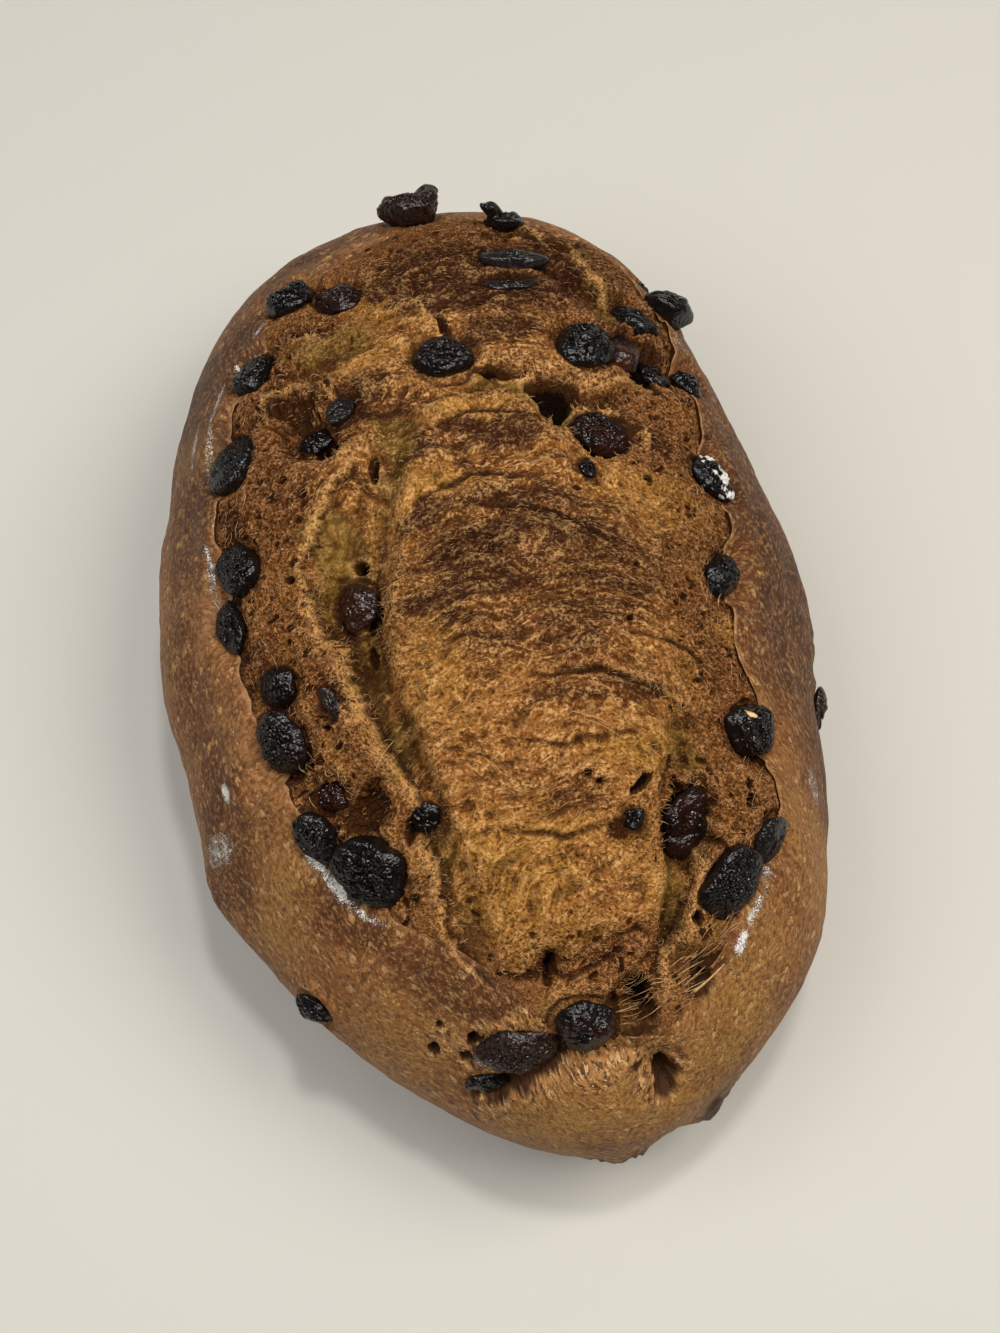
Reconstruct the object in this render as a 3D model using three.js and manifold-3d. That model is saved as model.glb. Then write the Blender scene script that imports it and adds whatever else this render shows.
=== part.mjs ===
import * as THREE from "three";
import { mergeVertices } from "three/addons/utils/BufferGeometryUtils.js";
import Module from "manifold-3d";

// A hand-shaped oval loaf of raisin bread, baked without a tin. Its crust tore open along a lip that
// runs round the top, and the crumb inside the lip swelled into a rough pillow full of raisins.
// Millimetres: X to the right, Y along the loaf, Z up, with the base on z = 0.

// The whole loaf
const HEIGHT = 88; // crown of the smooth dome above the base
const WIDEST_AT = 34; // height of the widest line
const WIDEST = [
  79, 80.5, 85.5, 95, 110, 120, 122.5, 117, 108, 95.5, 84, 81.5,
  80.5, 79.5, 86, 94.5, 104, 115.5, 126, 122.5, 111, 94, 83.5, 77,
]; // reach of the widest line from the middle, in equal turns anticlockwise from +X
const DOME_POWER = 2.3; // 2 is an ellipse, more is fuller towards the edge
const FOOT = 0.8; // share of the widest line's reach that stands on the base
const FOOT_CURL = 0.9; // 1 rounds the side into the base as an ellipse, less is fuller
const BASE_FADE = 14; // relief grows from nothing at the base to its whole height here
const MIDDLE = [-0.25, -2.4]; // middle of the outline's box, from where the reaches are measured

// The slow swells and dips of hand-shaped dough: their height, and the length of each wave's radian
const UNEVEN = 1.1;
const WAVE = { across: 17, along: 29, back: 19, aslant: 41, up: 11 };
const WAVES_ROUND = 3; // and how many of the waves on the side go once round

// The lip, the thin edge of the torn crust, as a share of the widest line's reach, in equal turns
const LIP = [
  0.73, 0.75, 0.75, 0.8, 0.84, 0.88, 0.9, 0.86, 0.86, 0.82, 0.79, 0.82,
  0.77, 0.75, 0.78, 0.78, 0.77, 0.76, 0.75, 0.76, 0.77, 0.77, 0.75, 0.77,
  0.78, 0.76, 0.78, 0.86, 0.86, 0.83, 0.82, 0.82, 0.8, 0.72, 0.73, 0.73,
];
const LIP_STEP = [1.5, 1.5, 1, 0, 0, 0.5, 1, 1.2, 1.2, 1.2, 1, 0.5, 0.5, 1, 1.5, 1.5]; // drop inside it
const LIP_CURL = 1.3; // how far the torn edge curls up out of the dome
const LIP_CURL_WIDTH = 8;
const LIP_WALL = 1.8; // the drop is this wide
const LIP_FOOT = 1.2; // the foot of the drop lies this many of those inside the lip
const BAND = 20; // width of the torn band between the lip and the pillow
const PILLOW_RISE = 3.5; // the pillow's crown above the smooth dome
const PILLOW_LENGTH = 80; // its half length and half width
const PILLOW_WIDTH = 38;
const PILLOW_EDGE = 1.3; // it starts to rise at this share of them, and is full one share further in

// Tears and creases in the crumb: each is a path of [x, y, half width, depth]
const CREASES = {
  leftTear: [
    [-13, 36, 5, 4], [-21, 22, 6, 7], [-29, 6, 8, 9], [-32, -10, 6, 10], [-31, -26, 5, 9],
    [-27, -42, 4, 7], [-23, -62, 4, 4], [-20, -84, 4, 3],
  ],
  fold: [[-28, 36, 3, 2], [-12, 42, 4, 3], [1, 43, 4, 4], [14, 43, 4, 6], [25, 35, 5, 7], [38, 35, 4, 3]],
  upperLeft: [[-42, 58, 3, 2], [-30, 57, 4, 4], [-17, 62, 4, 2]],
  upperRight: [[24, 90, 4, 2], [36, 76, 4, 4], [44, 63, 4, 3]],
  lowerRight: [[34, -48, 4, 3], [29, -66, 5, 6], [27, -80, 4, 5], [20, -95, 4, 6], [9, -103, 5, 5]],
  nearTear: [[-32, -104, 4, 1.5], [-20, -107, 5, 3], [-6, -107, 5, 3]],
};

// Open holes where gas or a lost raisin left a hollow: [x, y, radius, depth]
const HOLES = {
  besideCrown: [-34, 42, 8, 5],
  torn: [-31, 37, 4.5, 5],
  swirl: [-38, -51, 8, 6],
  cave: [31, 24, 8, 6],
  caveMouth: [24, 34, 6, 4],
  nearSlit: [-6, -91, 3, 4],
  strands: [26, -98, 5.5, 7],
  nearBowl: [8, -105, 6, 4],
  amber: [14, -115, 4, 6],
  pin: [-28, 2, 2.5, 4],
};

// Raisins under the crust push it out: [x, y, z, radius, height]
const SWELLINGS = {
  right: [77, -18, 38, 11, 2.5],
  rightLow: [79, -60, 36, 14, 2],
  left: [-72, -50, 36, 12, 3],
  leftHigh: [-76, 36, 40, 14, 1.5],
  near: [27, -121, 24, 7, 3.5],
  nearTip: [4, -125, 26, 6, 2.5],
};

// Raisins: [x, y, length, width, turn of the length from +X in degrees, height of the middle over the dome]
const RAISIN_THICKNESS = 0.64; // of its width
const RAISIN_LUMP = 0.1; // how far its wrinkled skin strays from an even oval
const RAISIN_WAVES = [5, 4, 6]; // radians of its wrinkles over half its length, width and thickness
const RAISINS = [
  [3, 107.5, 15, 12.5, 5, 2.5], [26, 98.5, 9.5, 8.5, 60, 0.8], [-31.5, 85.5, 12.8, 11.5, -12, -0.5],
  [-20, 81, 11.3, 9, 75, -1.5], [-43.5, 65.5, 14, 9.5, 60, -1.5], [-52.5, 42, 16.5, 12, 72, -1.5],
  [-25, 44, 8.5, 7, 80, -0.5], [-33.5, 42, 8, 7.5, 20, -5], [1, 51, 14, 12, 80, 1],
  [35, 50.5, 14, 13, 10, 0.5], [45, 51.5, 13, 7, 75, -2], [53, 48.5, 11, 7.5, -65, -4],
  [50.5, 62.5, 11, 8, -40, -1], [59, 66.5, 11, 9.5, 80, 3.5], [57, 79.5, 7, 4.5, -70, 0],
  [60, 45, 11, 7, -80, -1.5], [33.5, 27.5, 14.5, 11.5, -45, -3], [27, 16, 6, 5.2, 90, 0],
  [24, 82, 15, 7, -5, 0], [21.5, 73.5, 12, 4.5, 3, -0.5], [57.5, 14.5, 13, 10, -70, -1],
  [54, -11, 11, 8.5, 50, -1.5], [51.5, -49, 14, 13, -55, -2.5], [31, -69.5, 16.5, 10, 65, -5],
  [37, -81, 17.5, 13.2, 50, -1.5], [48.5, -73, 12, 8, 60, -1.5], [18, -65, 6, 5, 80, 0.5],
  [-1, -104, 15, 12.5, -15, -0.5], [-15.5, -105.5, 18, 10.5, -8, -1.2], [-23.5, -109.5, 10.5, 5, 5, -1.6],
  [-56, 14, 13.5, 12, -60, -1.8], [-60.5, 1, 14, 8, -80, -2], [-52, -17.5, 10, 9.2, 0, -2],
  [-53.5, -30.5, 16.5, 12.2, -70, -1.8], [-41, -26, 10, 5, -72, -2], [-46.5, -46.5, 7.5, 6.5, 60, -5],
  [-49.5, -52.5, 13, 9.2, -70, -1], [-39.5, -63, 17.5, 15.5, -50, -1.5], [-26, -56.5, 7, 6, 60, -4],
  [-33, -3.5, 12.5, 9, 75, -7.8], [-57, -82, 9.5, 8.5, -50, 0.5], [77, -36, 10.5, 6, 80, 1.8],
];

// How finely the surface is cut
const TOP_RINGS = 24; // rings from the crown to the widest line
const LIP_RING = 15; // the one that follows the lip
const SIDE_RINGS = 4; // from the widest line down to the base
const SIDES = 8; // each ring on top has this many more points than the one inside it
const SMALL_RAISIN = 6; // narrower raisins get fewer faces
const GAP = 0.35; // between a raisin and the crumb round it

const wasm = await Module();
wasm.setup();

const TURN = 2 * Math.PI;
const QUARTER = Math.PI / 2;
const clamp = (v, low, high) => Math.min(high, Math.max(low, v));
const smooth = (v) => clamp(v, 0, 1) ** 2 * (3 - 2 * clamp(v, 0, 1));
const bell = (v) => Math.exp(-v * v);

// A smooth closed curve through values spaced equally round the loaf
function around(values, angle) {
  const n = values.length;
  const place = (((angle / TURN) % 1) + 1) * n;
  const i = Math.floor(place);
  const t = place - i;
  const [a, b, c, d] = [-1, 0, 1, 2].map((k) => values[(i + k + n) % n]);
  const bend = (2 * a - 5 * b + 4 * c - d) * t * t + (3 * b - a - 3 * c + d) * t * t * t;
  return 0.5 * (2 * b + (c - a) * t + bend);
}

// How steeply the dome leans where it has run to a share of its reach: 0 at the crown, 90 at the edge
const leanAt = (share) => Math.asin(clamp(share, 0, 1) ** (DOME_POWER / 2));
const shareAt = (lean) => Math.sin(lean) ** (2 / DOME_POWER);

// How deep a crease cuts at (x, y): full depth on its path, fading across its half width
function creaseDepth(path, x, y) {
  let deepest = 0;
  for (let i = 1; i < path.length; i++) {
    const [x0, y0, w0, h0] = path[i - 1];
    const [x1, y1, w1, h1] = path[i];
    const [dx, dy] = [x1 - x0, y1 - y0];
    const t = clamp(((x - x0) * dx + (y - y0) * dy) / (dx * dx + dy * dy), 0, 1);
    const away = Math.hypot(x - x0 - t * dx, y - y0 - t * dy) / (w0 + t * (w1 - w0));
    deepest = Math.max(deepest, (h0 + t * (h1 - h0)) * Math.exp(-(away ** 3)));
  }
  return deepest;
}

// The lip's curl outside it, and inside it the drop, the torn band and the pillow
function tornRelief(inside, angle, x, y) {
  if (inside <= 0) return LIP_CURL * bell(inside / LIP_CURL_WIDTH);
  const drop = around(LIP_STEP, angle) + LIP_CURL;
  const band = smooth(inside / LIP_WALL) * (1 - smooth((inside - LIP_WALL) / BAND));
  const pillow = PILLOW_RISE * smooth(PILLOW_EDGE - Math.hypot(x / PILLOW_WIDTH, y / PILLOW_LENGTH));
  return LIP_CURL * (1 - smooth(inside / LIP_WALL)) - drop * band + pillow;
}

// Two crossed waves over the top, and a third up the side
function unevenness(x, y, z, angle) {
  const crossed = Math.sin(x / WAVE.across + y / WAVE.along) * Math.cos(y / WAVE.back - x / WAVE.aslant);
  return UNEVEN * (crossed + Math.sin(z / WAVE.up + WAVES_ROUND * angle) / 2);
}

// How far the surface stands out of the smooth loaf at a place on it
function relief(x, y, z, angle) {
  const inside = around(LIP, angle) * around(WIDEST, angle) - Math.hypot(x, y);
  let out = unevenness(x, y, z, angle);
  if (z > WIDEST_AT) {
    out += tornRelief(inside, angle, x, y);
    for (const path of Object.values(CREASES)) out -= creaseDepth(path, x, y);
    for (const [hx, hy, radius, depth] of Object.values(HOLES)) {
      out -= depth * bell(Math.hypot(x - hx, y - hy) / radius);
    }
  }
  for (const [sx, sy, sz, radius, height] of Object.values(SWELLINGS)) {
    out += height * bell(Math.hypot(x - sx, y - sy, z - sz) / radius);
  }
  return out * smooth(z / BASE_FADE);
}

// The smooth loaf at a lean and an angle round it; past a quarter turn it curls under to the base
function dome(lean, angle) {
  const reach = around(WIDEST, angle);
  const under = Math.max(0, lean - QUARTER);
  const share = under ? FOOT + (1 - FOOT) * Math.cos(under) ** FOOT_CURL : shareAt(lean);
  const above = WIDEST_AT + (HEIGHT - WIDEST_AT) * Math.cos(lean);
  const height = under ? WIDEST_AT * (1 - Math.sin(under)) : above;
  const [east, north] = [Math.cos(angle), Math.sin(angle)];
  return {
    point: new THREE.Vector3(reach * share * east, reach * share * north, height),
    normal: new THREE.Vector3(Math.sin(lean) * east, Math.sin(lean) * north, Math.cos(lean)),
  };
}

function surfacePoint(lean, angle) {
  const { point, normal } = dome(lean, angle);
  return point.addScaledVector(normal, relief(point.x, point.y, point.z, angle)).toArray();
}

// A ring's lean: the rings are shared out so that one runs along the lip and one along its foot
function ringLean(ring, angle) {
  const lip = leanAt(around(LIP, angle));
  const foot = lip - (LIP_FOOT * LIP_WALL) / around(WIDEST, angle);
  if (ring >= LIP_RING) return lip + ((QUARTER - lip) * (ring - LIP_RING)) / (TOP_RINGS - LIP_RING);
  return (foot * ring) / (LIP_RING - 1);
}

// The loaf: rings of 8, 16, 24 ... points from the crown to the widest line, then equal rings below it
function loafGeometry() {
  const points = [surfacePoint(0, 0)];
  const ringStart = [0];
  const size = (ring) => SIDES * Math.min(ring, TOP_RINGS);
  for (let ring = 1; ring <= TOP_RINGS + SIDE_RINGS; ring++) {
    ringStart.push(points.length);
    for (let i = 0; i < size(ring); i++) {
      const angle = (TURN * i) / size(ring);
      const under = QUARTER * (1 + (ring - TOP_RINGS) / SIDE_RINGS);
      const lean = ring > TOP_RINGS ? under : ringLean(ring, angle);
      points.push(surfacePoint(lean, angle));
    }
  }
  const faces = [];
  const at = (ring, i) => (ring ? ringStart[ring] + (i % size(ring)) : 0);
  for (let ring = 1; ring <= TOP_RINGS; ring++) {
    for (let side = 0; side < SIDES; side++) {
      for (let i = 0; i < ring; i++) {
        const [outer, inner] = [side * ring + i, side * (ring - 1) + i];
        faces.push([at(ring, outer), at(ring, outer + 1), at(ring - 1, inner)]);
        if (i) faces.push([at(ring, outer), at(ring - 1, inner), at(ring - 1, inner - 1)]);
      }
    }
  }
  for (let ring = TOP_RINGS + 1; ring <= TOP_RINGS + SIDE_RINGS; ring++) {
    for (let i = 0; i < size(ring); i++) {
      faces.push([at(ring, i), at(ring, i + 1), at(ring - 1, i + 1)]);
      faces.push([at(ring, i), at(ring - 1, i + 1), at(ring - 1, i)]);
    }
  }
  const last = TOP_RINGS + SIDE_RINGS;
  points.push([0, 0, 0]);
  for (let i = 0; i < size(last); i++) faces.push([at(last, i + 1), at(last, i), points.length - 1]);
  const geometry = new THREE.BufferGeometry();
  geometry.setAttribute("position", new THREE.Float32BufferAttribute(points.flat(), 3));
  geometry.setIndex(faces.flat());
  return geometry;
}

// A raisin: a lumpy oval lying in the surface, its flat side out; swollen, it is the pocket it sits in
function raisinGeometry([x, y, length, width, turn, level], index, gap) {
  const angle = Math.atan2(y, x);
  const { point, normal } = dome(leanAt(Math.hypot(x, y) / around(WIDEST, angle)), angle);
  const geometry = new THREE.IcosahedronGeometry(1, width < SMALL_RAISIN ? 0 : 1);
  const vertex = new THREE.Vector3();
  const position = geometry.getAttribute("position");
  const [along, across, through] = RAISIN_WAVES;
  for (let i = 0; i < position.count; i++) {
    vertex.fromBufferAttribute(position, i);
    const crossed = Math.sin(along * vertex.x + index) * Math.sin(across * vertex.y + 2 * index);
    vertex.multiplyScalar(1 + RAISIN_LUMP * (crossed + Math.sin(through * vertex.z + index)));
    position.setXYZ(i, vertex.x, vertex.y, vertex.z);
  }
  geometry.scale(length / 2 + gap, width / 2 + gap, (RAISIN_THICKNESS * width) / 2 + gap);
  geometry.rotateZ(THREE.MathUtils.degToRad(turn));
  const lean = new THREE.Quaternion().setFromUnitVectors(new THREE.Vector3(0, 0, 1), normal);
  geometry.applyQuaternion(lean);
  geometry.translate(...point.addScaledVector(normal, level).toArray());
  return geometry;
}

function solidOf(geometry) {
  geometry.deleteAttribute("normal");
  geometry.deleteAttribute("uv");
  const merged = mergeVertices(geometry, 1e-4);
  const triVerts = new Uint32Array(merged.index.array);
  const vertProperties = merged.getAttribute("position").array;
  return new wasm.Manifold(new wasm.Mesh({ numProp: 3, vertProperties, triVerts }));
}

// Crumbs that a cut leaves loose are dropped
const largestBody = (solid) => solid.decompose().sort((a, b) => b.volume() - a.volume())[0];

function meshOf(name, solid, material) {
  const { vertProperties, triVerts } = solid.getMesh();
  const geometry = new THREE.BufferGeometry();
  geometry.setAttribute("position", new THREE.BufferAttribute(vertProperties, 3));
  geometry.setIndex(new THREE.BufferAttribute(triVerts, 1));
  const mesh = new THREE.Mesh(geometry, material);
  mesh.name = name;
  return mesh;
}

const crust = new THREE.MeshStandardMaterial({ color: 0x94602f, roughness: 0.6, metalness: 0 });
const raisinSkin = new THREE.MeshStandardMaterial({ color: 0x1c1a1d, roughness: 0.35, metalness: 0 });

const bread = new THREE.Group();
let loaf = solidOf(loafGeometry());
const pockets = [];
RAISINS.forEach((raisin, index) => {
  let solid = solidOf(raisinGeometry(raisin, index, 0));
  for (const pocket of pockets) solid = solid.subtract(pocket); // neighbours lie against each other
  const pocket = solidOf(raisinGeometry(raisin, index, GAP));
  pockets.push(pocket);
  loaf = loaf.subtract(pocket);
  const name = "raisin_" + String(index + 1).padStart(2, "0");
  bread.add(meshOf(name, largestBody(solid), raisinSkin));
});
bread.add(meshOf("loaf", largestBody(loaf), crust));
bread.position.set(-MIDDLE[0], -MIDDLE[1], 0); // the origin is the middle of the outline, on the base

export default bread;
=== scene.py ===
import math

import bpy
import numpy as np
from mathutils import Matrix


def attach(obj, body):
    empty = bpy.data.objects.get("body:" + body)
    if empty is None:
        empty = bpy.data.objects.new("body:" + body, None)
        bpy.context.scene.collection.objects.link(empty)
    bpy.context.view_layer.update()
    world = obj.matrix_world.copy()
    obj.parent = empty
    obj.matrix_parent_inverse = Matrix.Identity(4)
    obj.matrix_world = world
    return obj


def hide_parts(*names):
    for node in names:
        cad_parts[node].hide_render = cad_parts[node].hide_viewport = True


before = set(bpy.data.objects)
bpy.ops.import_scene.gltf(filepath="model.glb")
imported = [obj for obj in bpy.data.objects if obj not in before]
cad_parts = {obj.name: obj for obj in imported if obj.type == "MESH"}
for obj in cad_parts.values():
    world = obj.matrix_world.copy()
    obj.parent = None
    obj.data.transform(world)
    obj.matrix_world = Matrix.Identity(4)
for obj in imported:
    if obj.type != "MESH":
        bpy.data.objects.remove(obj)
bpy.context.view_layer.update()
millimetre = 0.001
turn = 2 * math.pi

# Everything below is in millimetres on the loaf's own plan, as its solid has it: X right, Y along, Z up

# The loaf: a smooth dome whose reach changes round it
loafForm = {
    "height": 88,  # crown of the smooth dome
    "widestAt": 34,  # height of the widest line
    # how far that line reaches at equal steps round the loaf
    "widest": [79, 80.5, 85.5, 95, 110, 120, 122.5, 117, 108, 95.5, 84, 81.5,
               80.5, 79.5, 86, 94.5, 104, 115.5, 126, 122.5, 111, 94, 83.5, 77],
    "domePower": 2.3,
    "foot": 0.8,
    "footCurl": 0.9,
    "baseFade": 14,
    "middle": (-0.25, -2.4),
    "uneven": 1.1,
    "wave": {"across": 17, "along": 29, "back": 19, "aslant": 41, "up": 11},
    "wavesRound": 3,
}
tornForm = {
    # where the lip runs, as a share of the widest reach, and how deep the crumb drops inside it, all round
    "lip": [0.73, 0.75, 0.75, 0.8, 0.84, 0.88, 0.9, 0.86, 0.86, 0.82, 0.79, 0.82,
            0.77, 0.75, 0.78, 0.78, 0.77, 0.76, 0.75, 0.76, 0.77, 0.77, 0.75, 0.77,
            0.78, 0.76, 0.78, 0.86, 0.86, 0.83, 0.82, 0.82, 0.8, 0.72, 0.73, 0.73],
    "drop": [1.5, 1.5, 1, 0, 0, 0.5, 1, 1.2, 1.2, 1.2, 1, 0.5, 0.5, 1, 1.5, 1.5],
    "stands": [1, 1, 0.8, 0.3, 0, 0.35, 0.9, 1, 1, 1, 1, 0.45, 0, 0.1, 0.8, 1],  # how far the lip is torn free
    "shownDrop": 0.45,  # share of the drop that shows: the torn crumb fills the rest
    "merge": 0.4,  # how much higher the crumb lies where the lip is merged
    "curl": 0.8,
    "curlWidth": 8,
    "band": 9,
    "pillowRise": 3.5,
    "pillowLength": 80,
    "pillowWidth": 38,
    "pillowEdge": 1.3,
}
# paths of [x, y, half width, depth]
creases = {
    "leftTear": [[-13, 36, 5, 4], [-21, 22, 6, 7], [-29, 6, 8, 9], [-32, -10, 6, 10],
                 [-31, -26, 5, 9], [-27, -42, 4, 7], [-23, -62, 4, 4], [-20, -84, 4, 3]],
    "fold": [[-28, 36, 3, 2], [-12, 42, 4, 3], [1, 43, 4, 4], [14, 43, 4, 6], [25, 35, 5, 7], [38, 35, 4, 3]],
    "upperLeft": [[-42, 58, 3, 2], [-30, 57, 4, 4], [-17, 62, 4, 2]],
    "upperRight": [[24, 90, 4, 2], [36, 76, 4, 4], [44, 63, 4, 3]],
    "lowerRight": [[34, -48, 4, 3], [29, -66, 5, 6], [27, -80, 4, 5], [20, -95, 4, 6], [9, -103, 5, 5]],
    "nearTear": [[-32, -104, 4, 1.5], [-20, -107, 5, 3], [-6, -107, 5, 3]],
}
# [x, y, radius, depth]
holes = {
    "besideCrown": [-34, 42, 8, 5], "torn": [-31, 37, 4.5, 5], "swirl": [-38, -51, 8, 6],
    "cave": [31, 24, 8, 6], "caveMouth": [24, 34, 6, 4], "nearSlit": [-6, -91, 3, 4],
    "strands": [26, -98, 5.5, 7], "nearBowl": [8, -105, 6, 4], "amber": [14, -115, 4, 6],
    "pin": [-28, 2, 2.5, 4],
}
# [x, y, z, radius, height]
swellings = {
    "right": [77, -18, 38, 11, 2.5], "rightLow": [79, -60, 36, 14, 2], "left": [-72, -50, 36, 12, 3],
    "leftHigh": [-76, 36, 40, 14, 1.5], "near": [27, -121, 24, 7, 3.5], "nearTip": [4, -125, 26, 6, 2.5],
}


# 0 below nothing, 1 past one, eased at both ends
def smooth(v):
    v = np.clip(v, 0, 1)
    return v * v * (3 - 2 * v)


# e ^ -(v squared)
def bell(v):
    return np.exp(-v * v)


# A closed curve through values spaced equally round the loaf: a cubic between each two of them
def around(values, angle):
    v = np.asarray(values, float)
    n = len(v)
    place = (angle / turn % 1) * n
    i = np.floor(place).astype(int)
    t = place - i
    a, b, c, d = (v[(i + k) % n] for k in (-1, 0, 1, 2))
    return 0.5 * (2 * b + (c - a) * t + (2 * a - 5 * b + 4 * c - d) * t ** 2 + (3 * b - a - 3 * c + d) * t ** 3)


# Lean of the dome where it has run to a share of its reach: the arc sine of share ^ (power / 2)
def leanAt(share):
    return np.arcsin(np.clip(share, 0, 1) ** (loafForm["domePower"] / 2))


# Distance to a path, the share of the way along its nearest stretch, that stretch's ends, and which side
def besidePath(path, x, y):
    nearest, side = np.full_like(x, 99.0), np.zeros_like(x)
    third, fourth = np.zeros_like(x), np.zeros_like(x)
    for (x0, y0, *first), (x1, y1, *last) in zip(path, path[1:]):
        dx, dy = x1 - x0, y1 - y0
        t = np.clip(((x - x0) * dx + (y - y0) * dy) / (dx * dx + dy * dy), 0, 1)
        away = np.hypot(x - x0 - t * dx, y - y0 - t * dy)
        closer = away < nearest
        side = np.where(closer, np.sign(dx * (y - y0) - dy * (x - x0)), side)
        third = np.where(closer, first[0] + t * (last[0] - first[0]), third)
        if len(first) > 1:
            fourth = np.where(closer, first[1] + t * (last[1] - first[1]), fourth)
        nearest = np.where(closer, away, nearest)
    return nearest, side, third, fourth


# Depth of a crease: full on its path, times e ^ -(distance / half width) ^ 3 beside it
def creaseDepth(path, x, y):
    away, _, halfWidth, depth = besidePath(path, x, y)
    return depth * np.exp(-(away / np.maximum(halfWidth, 0.1)) ** 3)


# Millimetres inside the lip, negative outside it
def insideLip(x, y, angle):
    return around(tornForm["lip"], angle) * around(loafForm["widest"], angle) - np.hypot(x, y)


# Two crossed waves over the top and a third up the side, plus the lumps that raisins push out
def handShaped(x, y, z, angle):
    w = loafForm["wave"]
    out = np.sin(x / w["across"] + y / w["along"]) * np.cos(y / w["back"] - x / w["aslant"])
    out = loafForm["uneven"] * (out + np.sin(z / w["up"] + loafForm["wavesRound"] * angle) / 2)
    for sx, sy, sz, radius, height in swellings.values():
        out = out + height * bell(np.sqrt((x - sx) ** 2 + (y - sy) ** 2 + (z - sz) ** 2) / radius)
    return out


# The dome at a lean and an angle: an oval arch above the widest line, an oval foot under it
def dome(lean, angle):
    form = loafForm
    reach = around(form["widest"], angle)
    under = np.maximum(0, lean - math.pi / 2)
    foot = form["foot"] + (1 - form["foot"]) * np.clip(np.cos(under), 0, 1) ** form["footCurl"]
    top = np.sin(np.minimum(lean, math.pi / 2)) ** (2 / form["domePower"])
    share = np.where(under > 0, foot, top)
    above = form["widestAt"] + (form["height"] - form["widestAt"]) * np.cos(lean)
    height = np.where(under > 0, form["widestAt"] * (1 - np.sin(under)), above)
    point = np.stack([reach * share * np.cos(angle), reach * share * np.sin(angle), height], -1)
    normal = np.stack([np.sin(lean) * np.cos(angle), np.sin(lean) * np.sin(angle), np.cos(lean)], -1)
    return point, normal


# Depth of the creases and soft hollows at a place
def hollowDepth(x, y):
    out = np.zeros_like(x)
    for path in creases.values():
        out = out + creaseDepth(path, x, y)
    for hx, hy, radius, depth in holes.values():
        out = out + depth * bell(np.hypot(x - hx, y - hy) / radius)
    return out


# Height of the torn crumb over the dome: lower inside the free lip, level with the merged one,
# and swollen in the pillow
def crumbHeight(x, y, inside, angle):
    form = tornForm
    stands = np.clip(around(form["stands"], angle), 0, 1)
    sunk = around(form["drop"], angle) * form["shownDrop"] * stands - form["merge"] * (1 - stands)
    out = -sunk * (1 - smooth(inside / form["band"]))
    spread = np.hypot(x / form["pillowWidth"], y / form["pillowLength"])
    return out + form["pillowRise"] * smooth(form["pillowEdge"] - spread) - hollowDepth(x, y)


# A fixed number from 0 to 1 for each cell of a lattice, scrambled from its whole-number place
def scramble(ix, iy, iz, seed):
    n = (ix * 73856093) ^ (iy * 19349663) ^ (iz * 83492791) ^ (seed * 668265263)
    n = ((n & 0xFFFFFFFF) ^ ((n & 0xFFFFFFFF) >> 15)) * 739982445 & 0xFFFFFFFF
    n = (n ^ (n >> 12)) * 695872825 & 0xFFFFFFFF
    return ((n ^ (n >> 15)) & 0xFFFFFF) / 0xFFFFFF


# Lattice values eased between their cells, from -1 to 1, with finer copies at half strength
def noise(x, y, z, seed, octaves=1):
    total, reach, strength = 0.0, 0.0, 1.0
    z = z + x * 0
    for octave in range(octaves):
        ix, iy, iz = (np.floor(v).astype(np.int64) for v in (x, y, z))
        fx, fy, fz = (smooth(v - i) for v, i in ((x, ix), (y, iy), (z, iz)))
        value = 0.0
        for cx, cy, cz in np.ndindex(2, 2, 2):
            weight = np.abs(1 - cx - fx) * np.abs(1 - cy - fy) * np.abs(1 - cz - fz)
            value = value + weight * scramble(ix + cx, iy + cy, iz + cz, seed + octave)
        total = total + strength * (2 * value - 1)
        reach, strength = reach + strength, strength / 2
        x, y, z = x * 2 + 5.3, y * 2 + 1.7, z * 2 + 3.1
    return total / reach


# Noise in lumps of a size in millimetres, or of a size each way; a texture is (size, seed, octaves)
def rough(texture, x, y, z=0):
    size, seed, octaves = texture
    a, b, c = size if isinstance(size, tuple) else (size, size, size)
    return noise(x / a, y / b, z / c, seed, octaves)


# Cells round jittered points on a plan: distance to the nearest, and the nearest's own number
def cells(x, y, seed):
    ix, iy = np.floor(x).astype(np.int64), np.floor(y).astype(np.int64)
    nearest, own = np.full_like(x, 9.0), np.zeros_like(x)
    for ox, oy in np.ndindex(3, 3):
        cx, cy = ix + ox - 1, iy + oy - 1
        away = np.hypot(cx + scramble(cx, cy, 0, seed) - x, cy + scramble(cx, cy, 1, seed) - y)
        own = np.where(away < nearest, scramble(cx, cy, 2, seed), own)
        nearest = np.minimum(nearest, away)
    return nearest, own


# Distance to the nearest of jittered points in three directions
def cellsOver(x, y, z, seed):
    ix, iy, iz = (np.floor(v).astype(np.int64) for v in (x, y, z))
    nearest = np.full_like(x, 9.0)
    for ox, oy, oz in np.ndindex(3, 3, 3):
        cx, cy, cz = ix + ox - 1, iy + oy - 1, iz + oz - 1
        dx, dy, dz = (place + scramble(cx, cy, cz, seed + k) - at
                      for k, (place, at) in enumerate(((cx, x), (cy, y), (cz, z))))
        nearest = np.minimum(nearest, np.sqrt(dx * dx + dy * dy + dz * dz))
    return nearest


# A place measured along and across an oval [x, y, half length, half width, turn in degrees]
def inOval(oval, x, y):
    c, s = math.cos(math.radians(oval[4])), math.sin(math.radians(oval[4]))
    east, north = x - oval[0], y - oval[1]
    return (east * c + north * s) / oval[2], (north * c - east * s) / oval[3]


# Ovals with a strength after their turn, full inside and fading past their edge
def patchwork(patches, x, y):
    total = np.zeros_like(x)
    for patch in patches:
        total = np.maximum(total, patch[5] * smooth(1.5 - np.hypot(*inOval(patch, x, y))))
    return total


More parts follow.
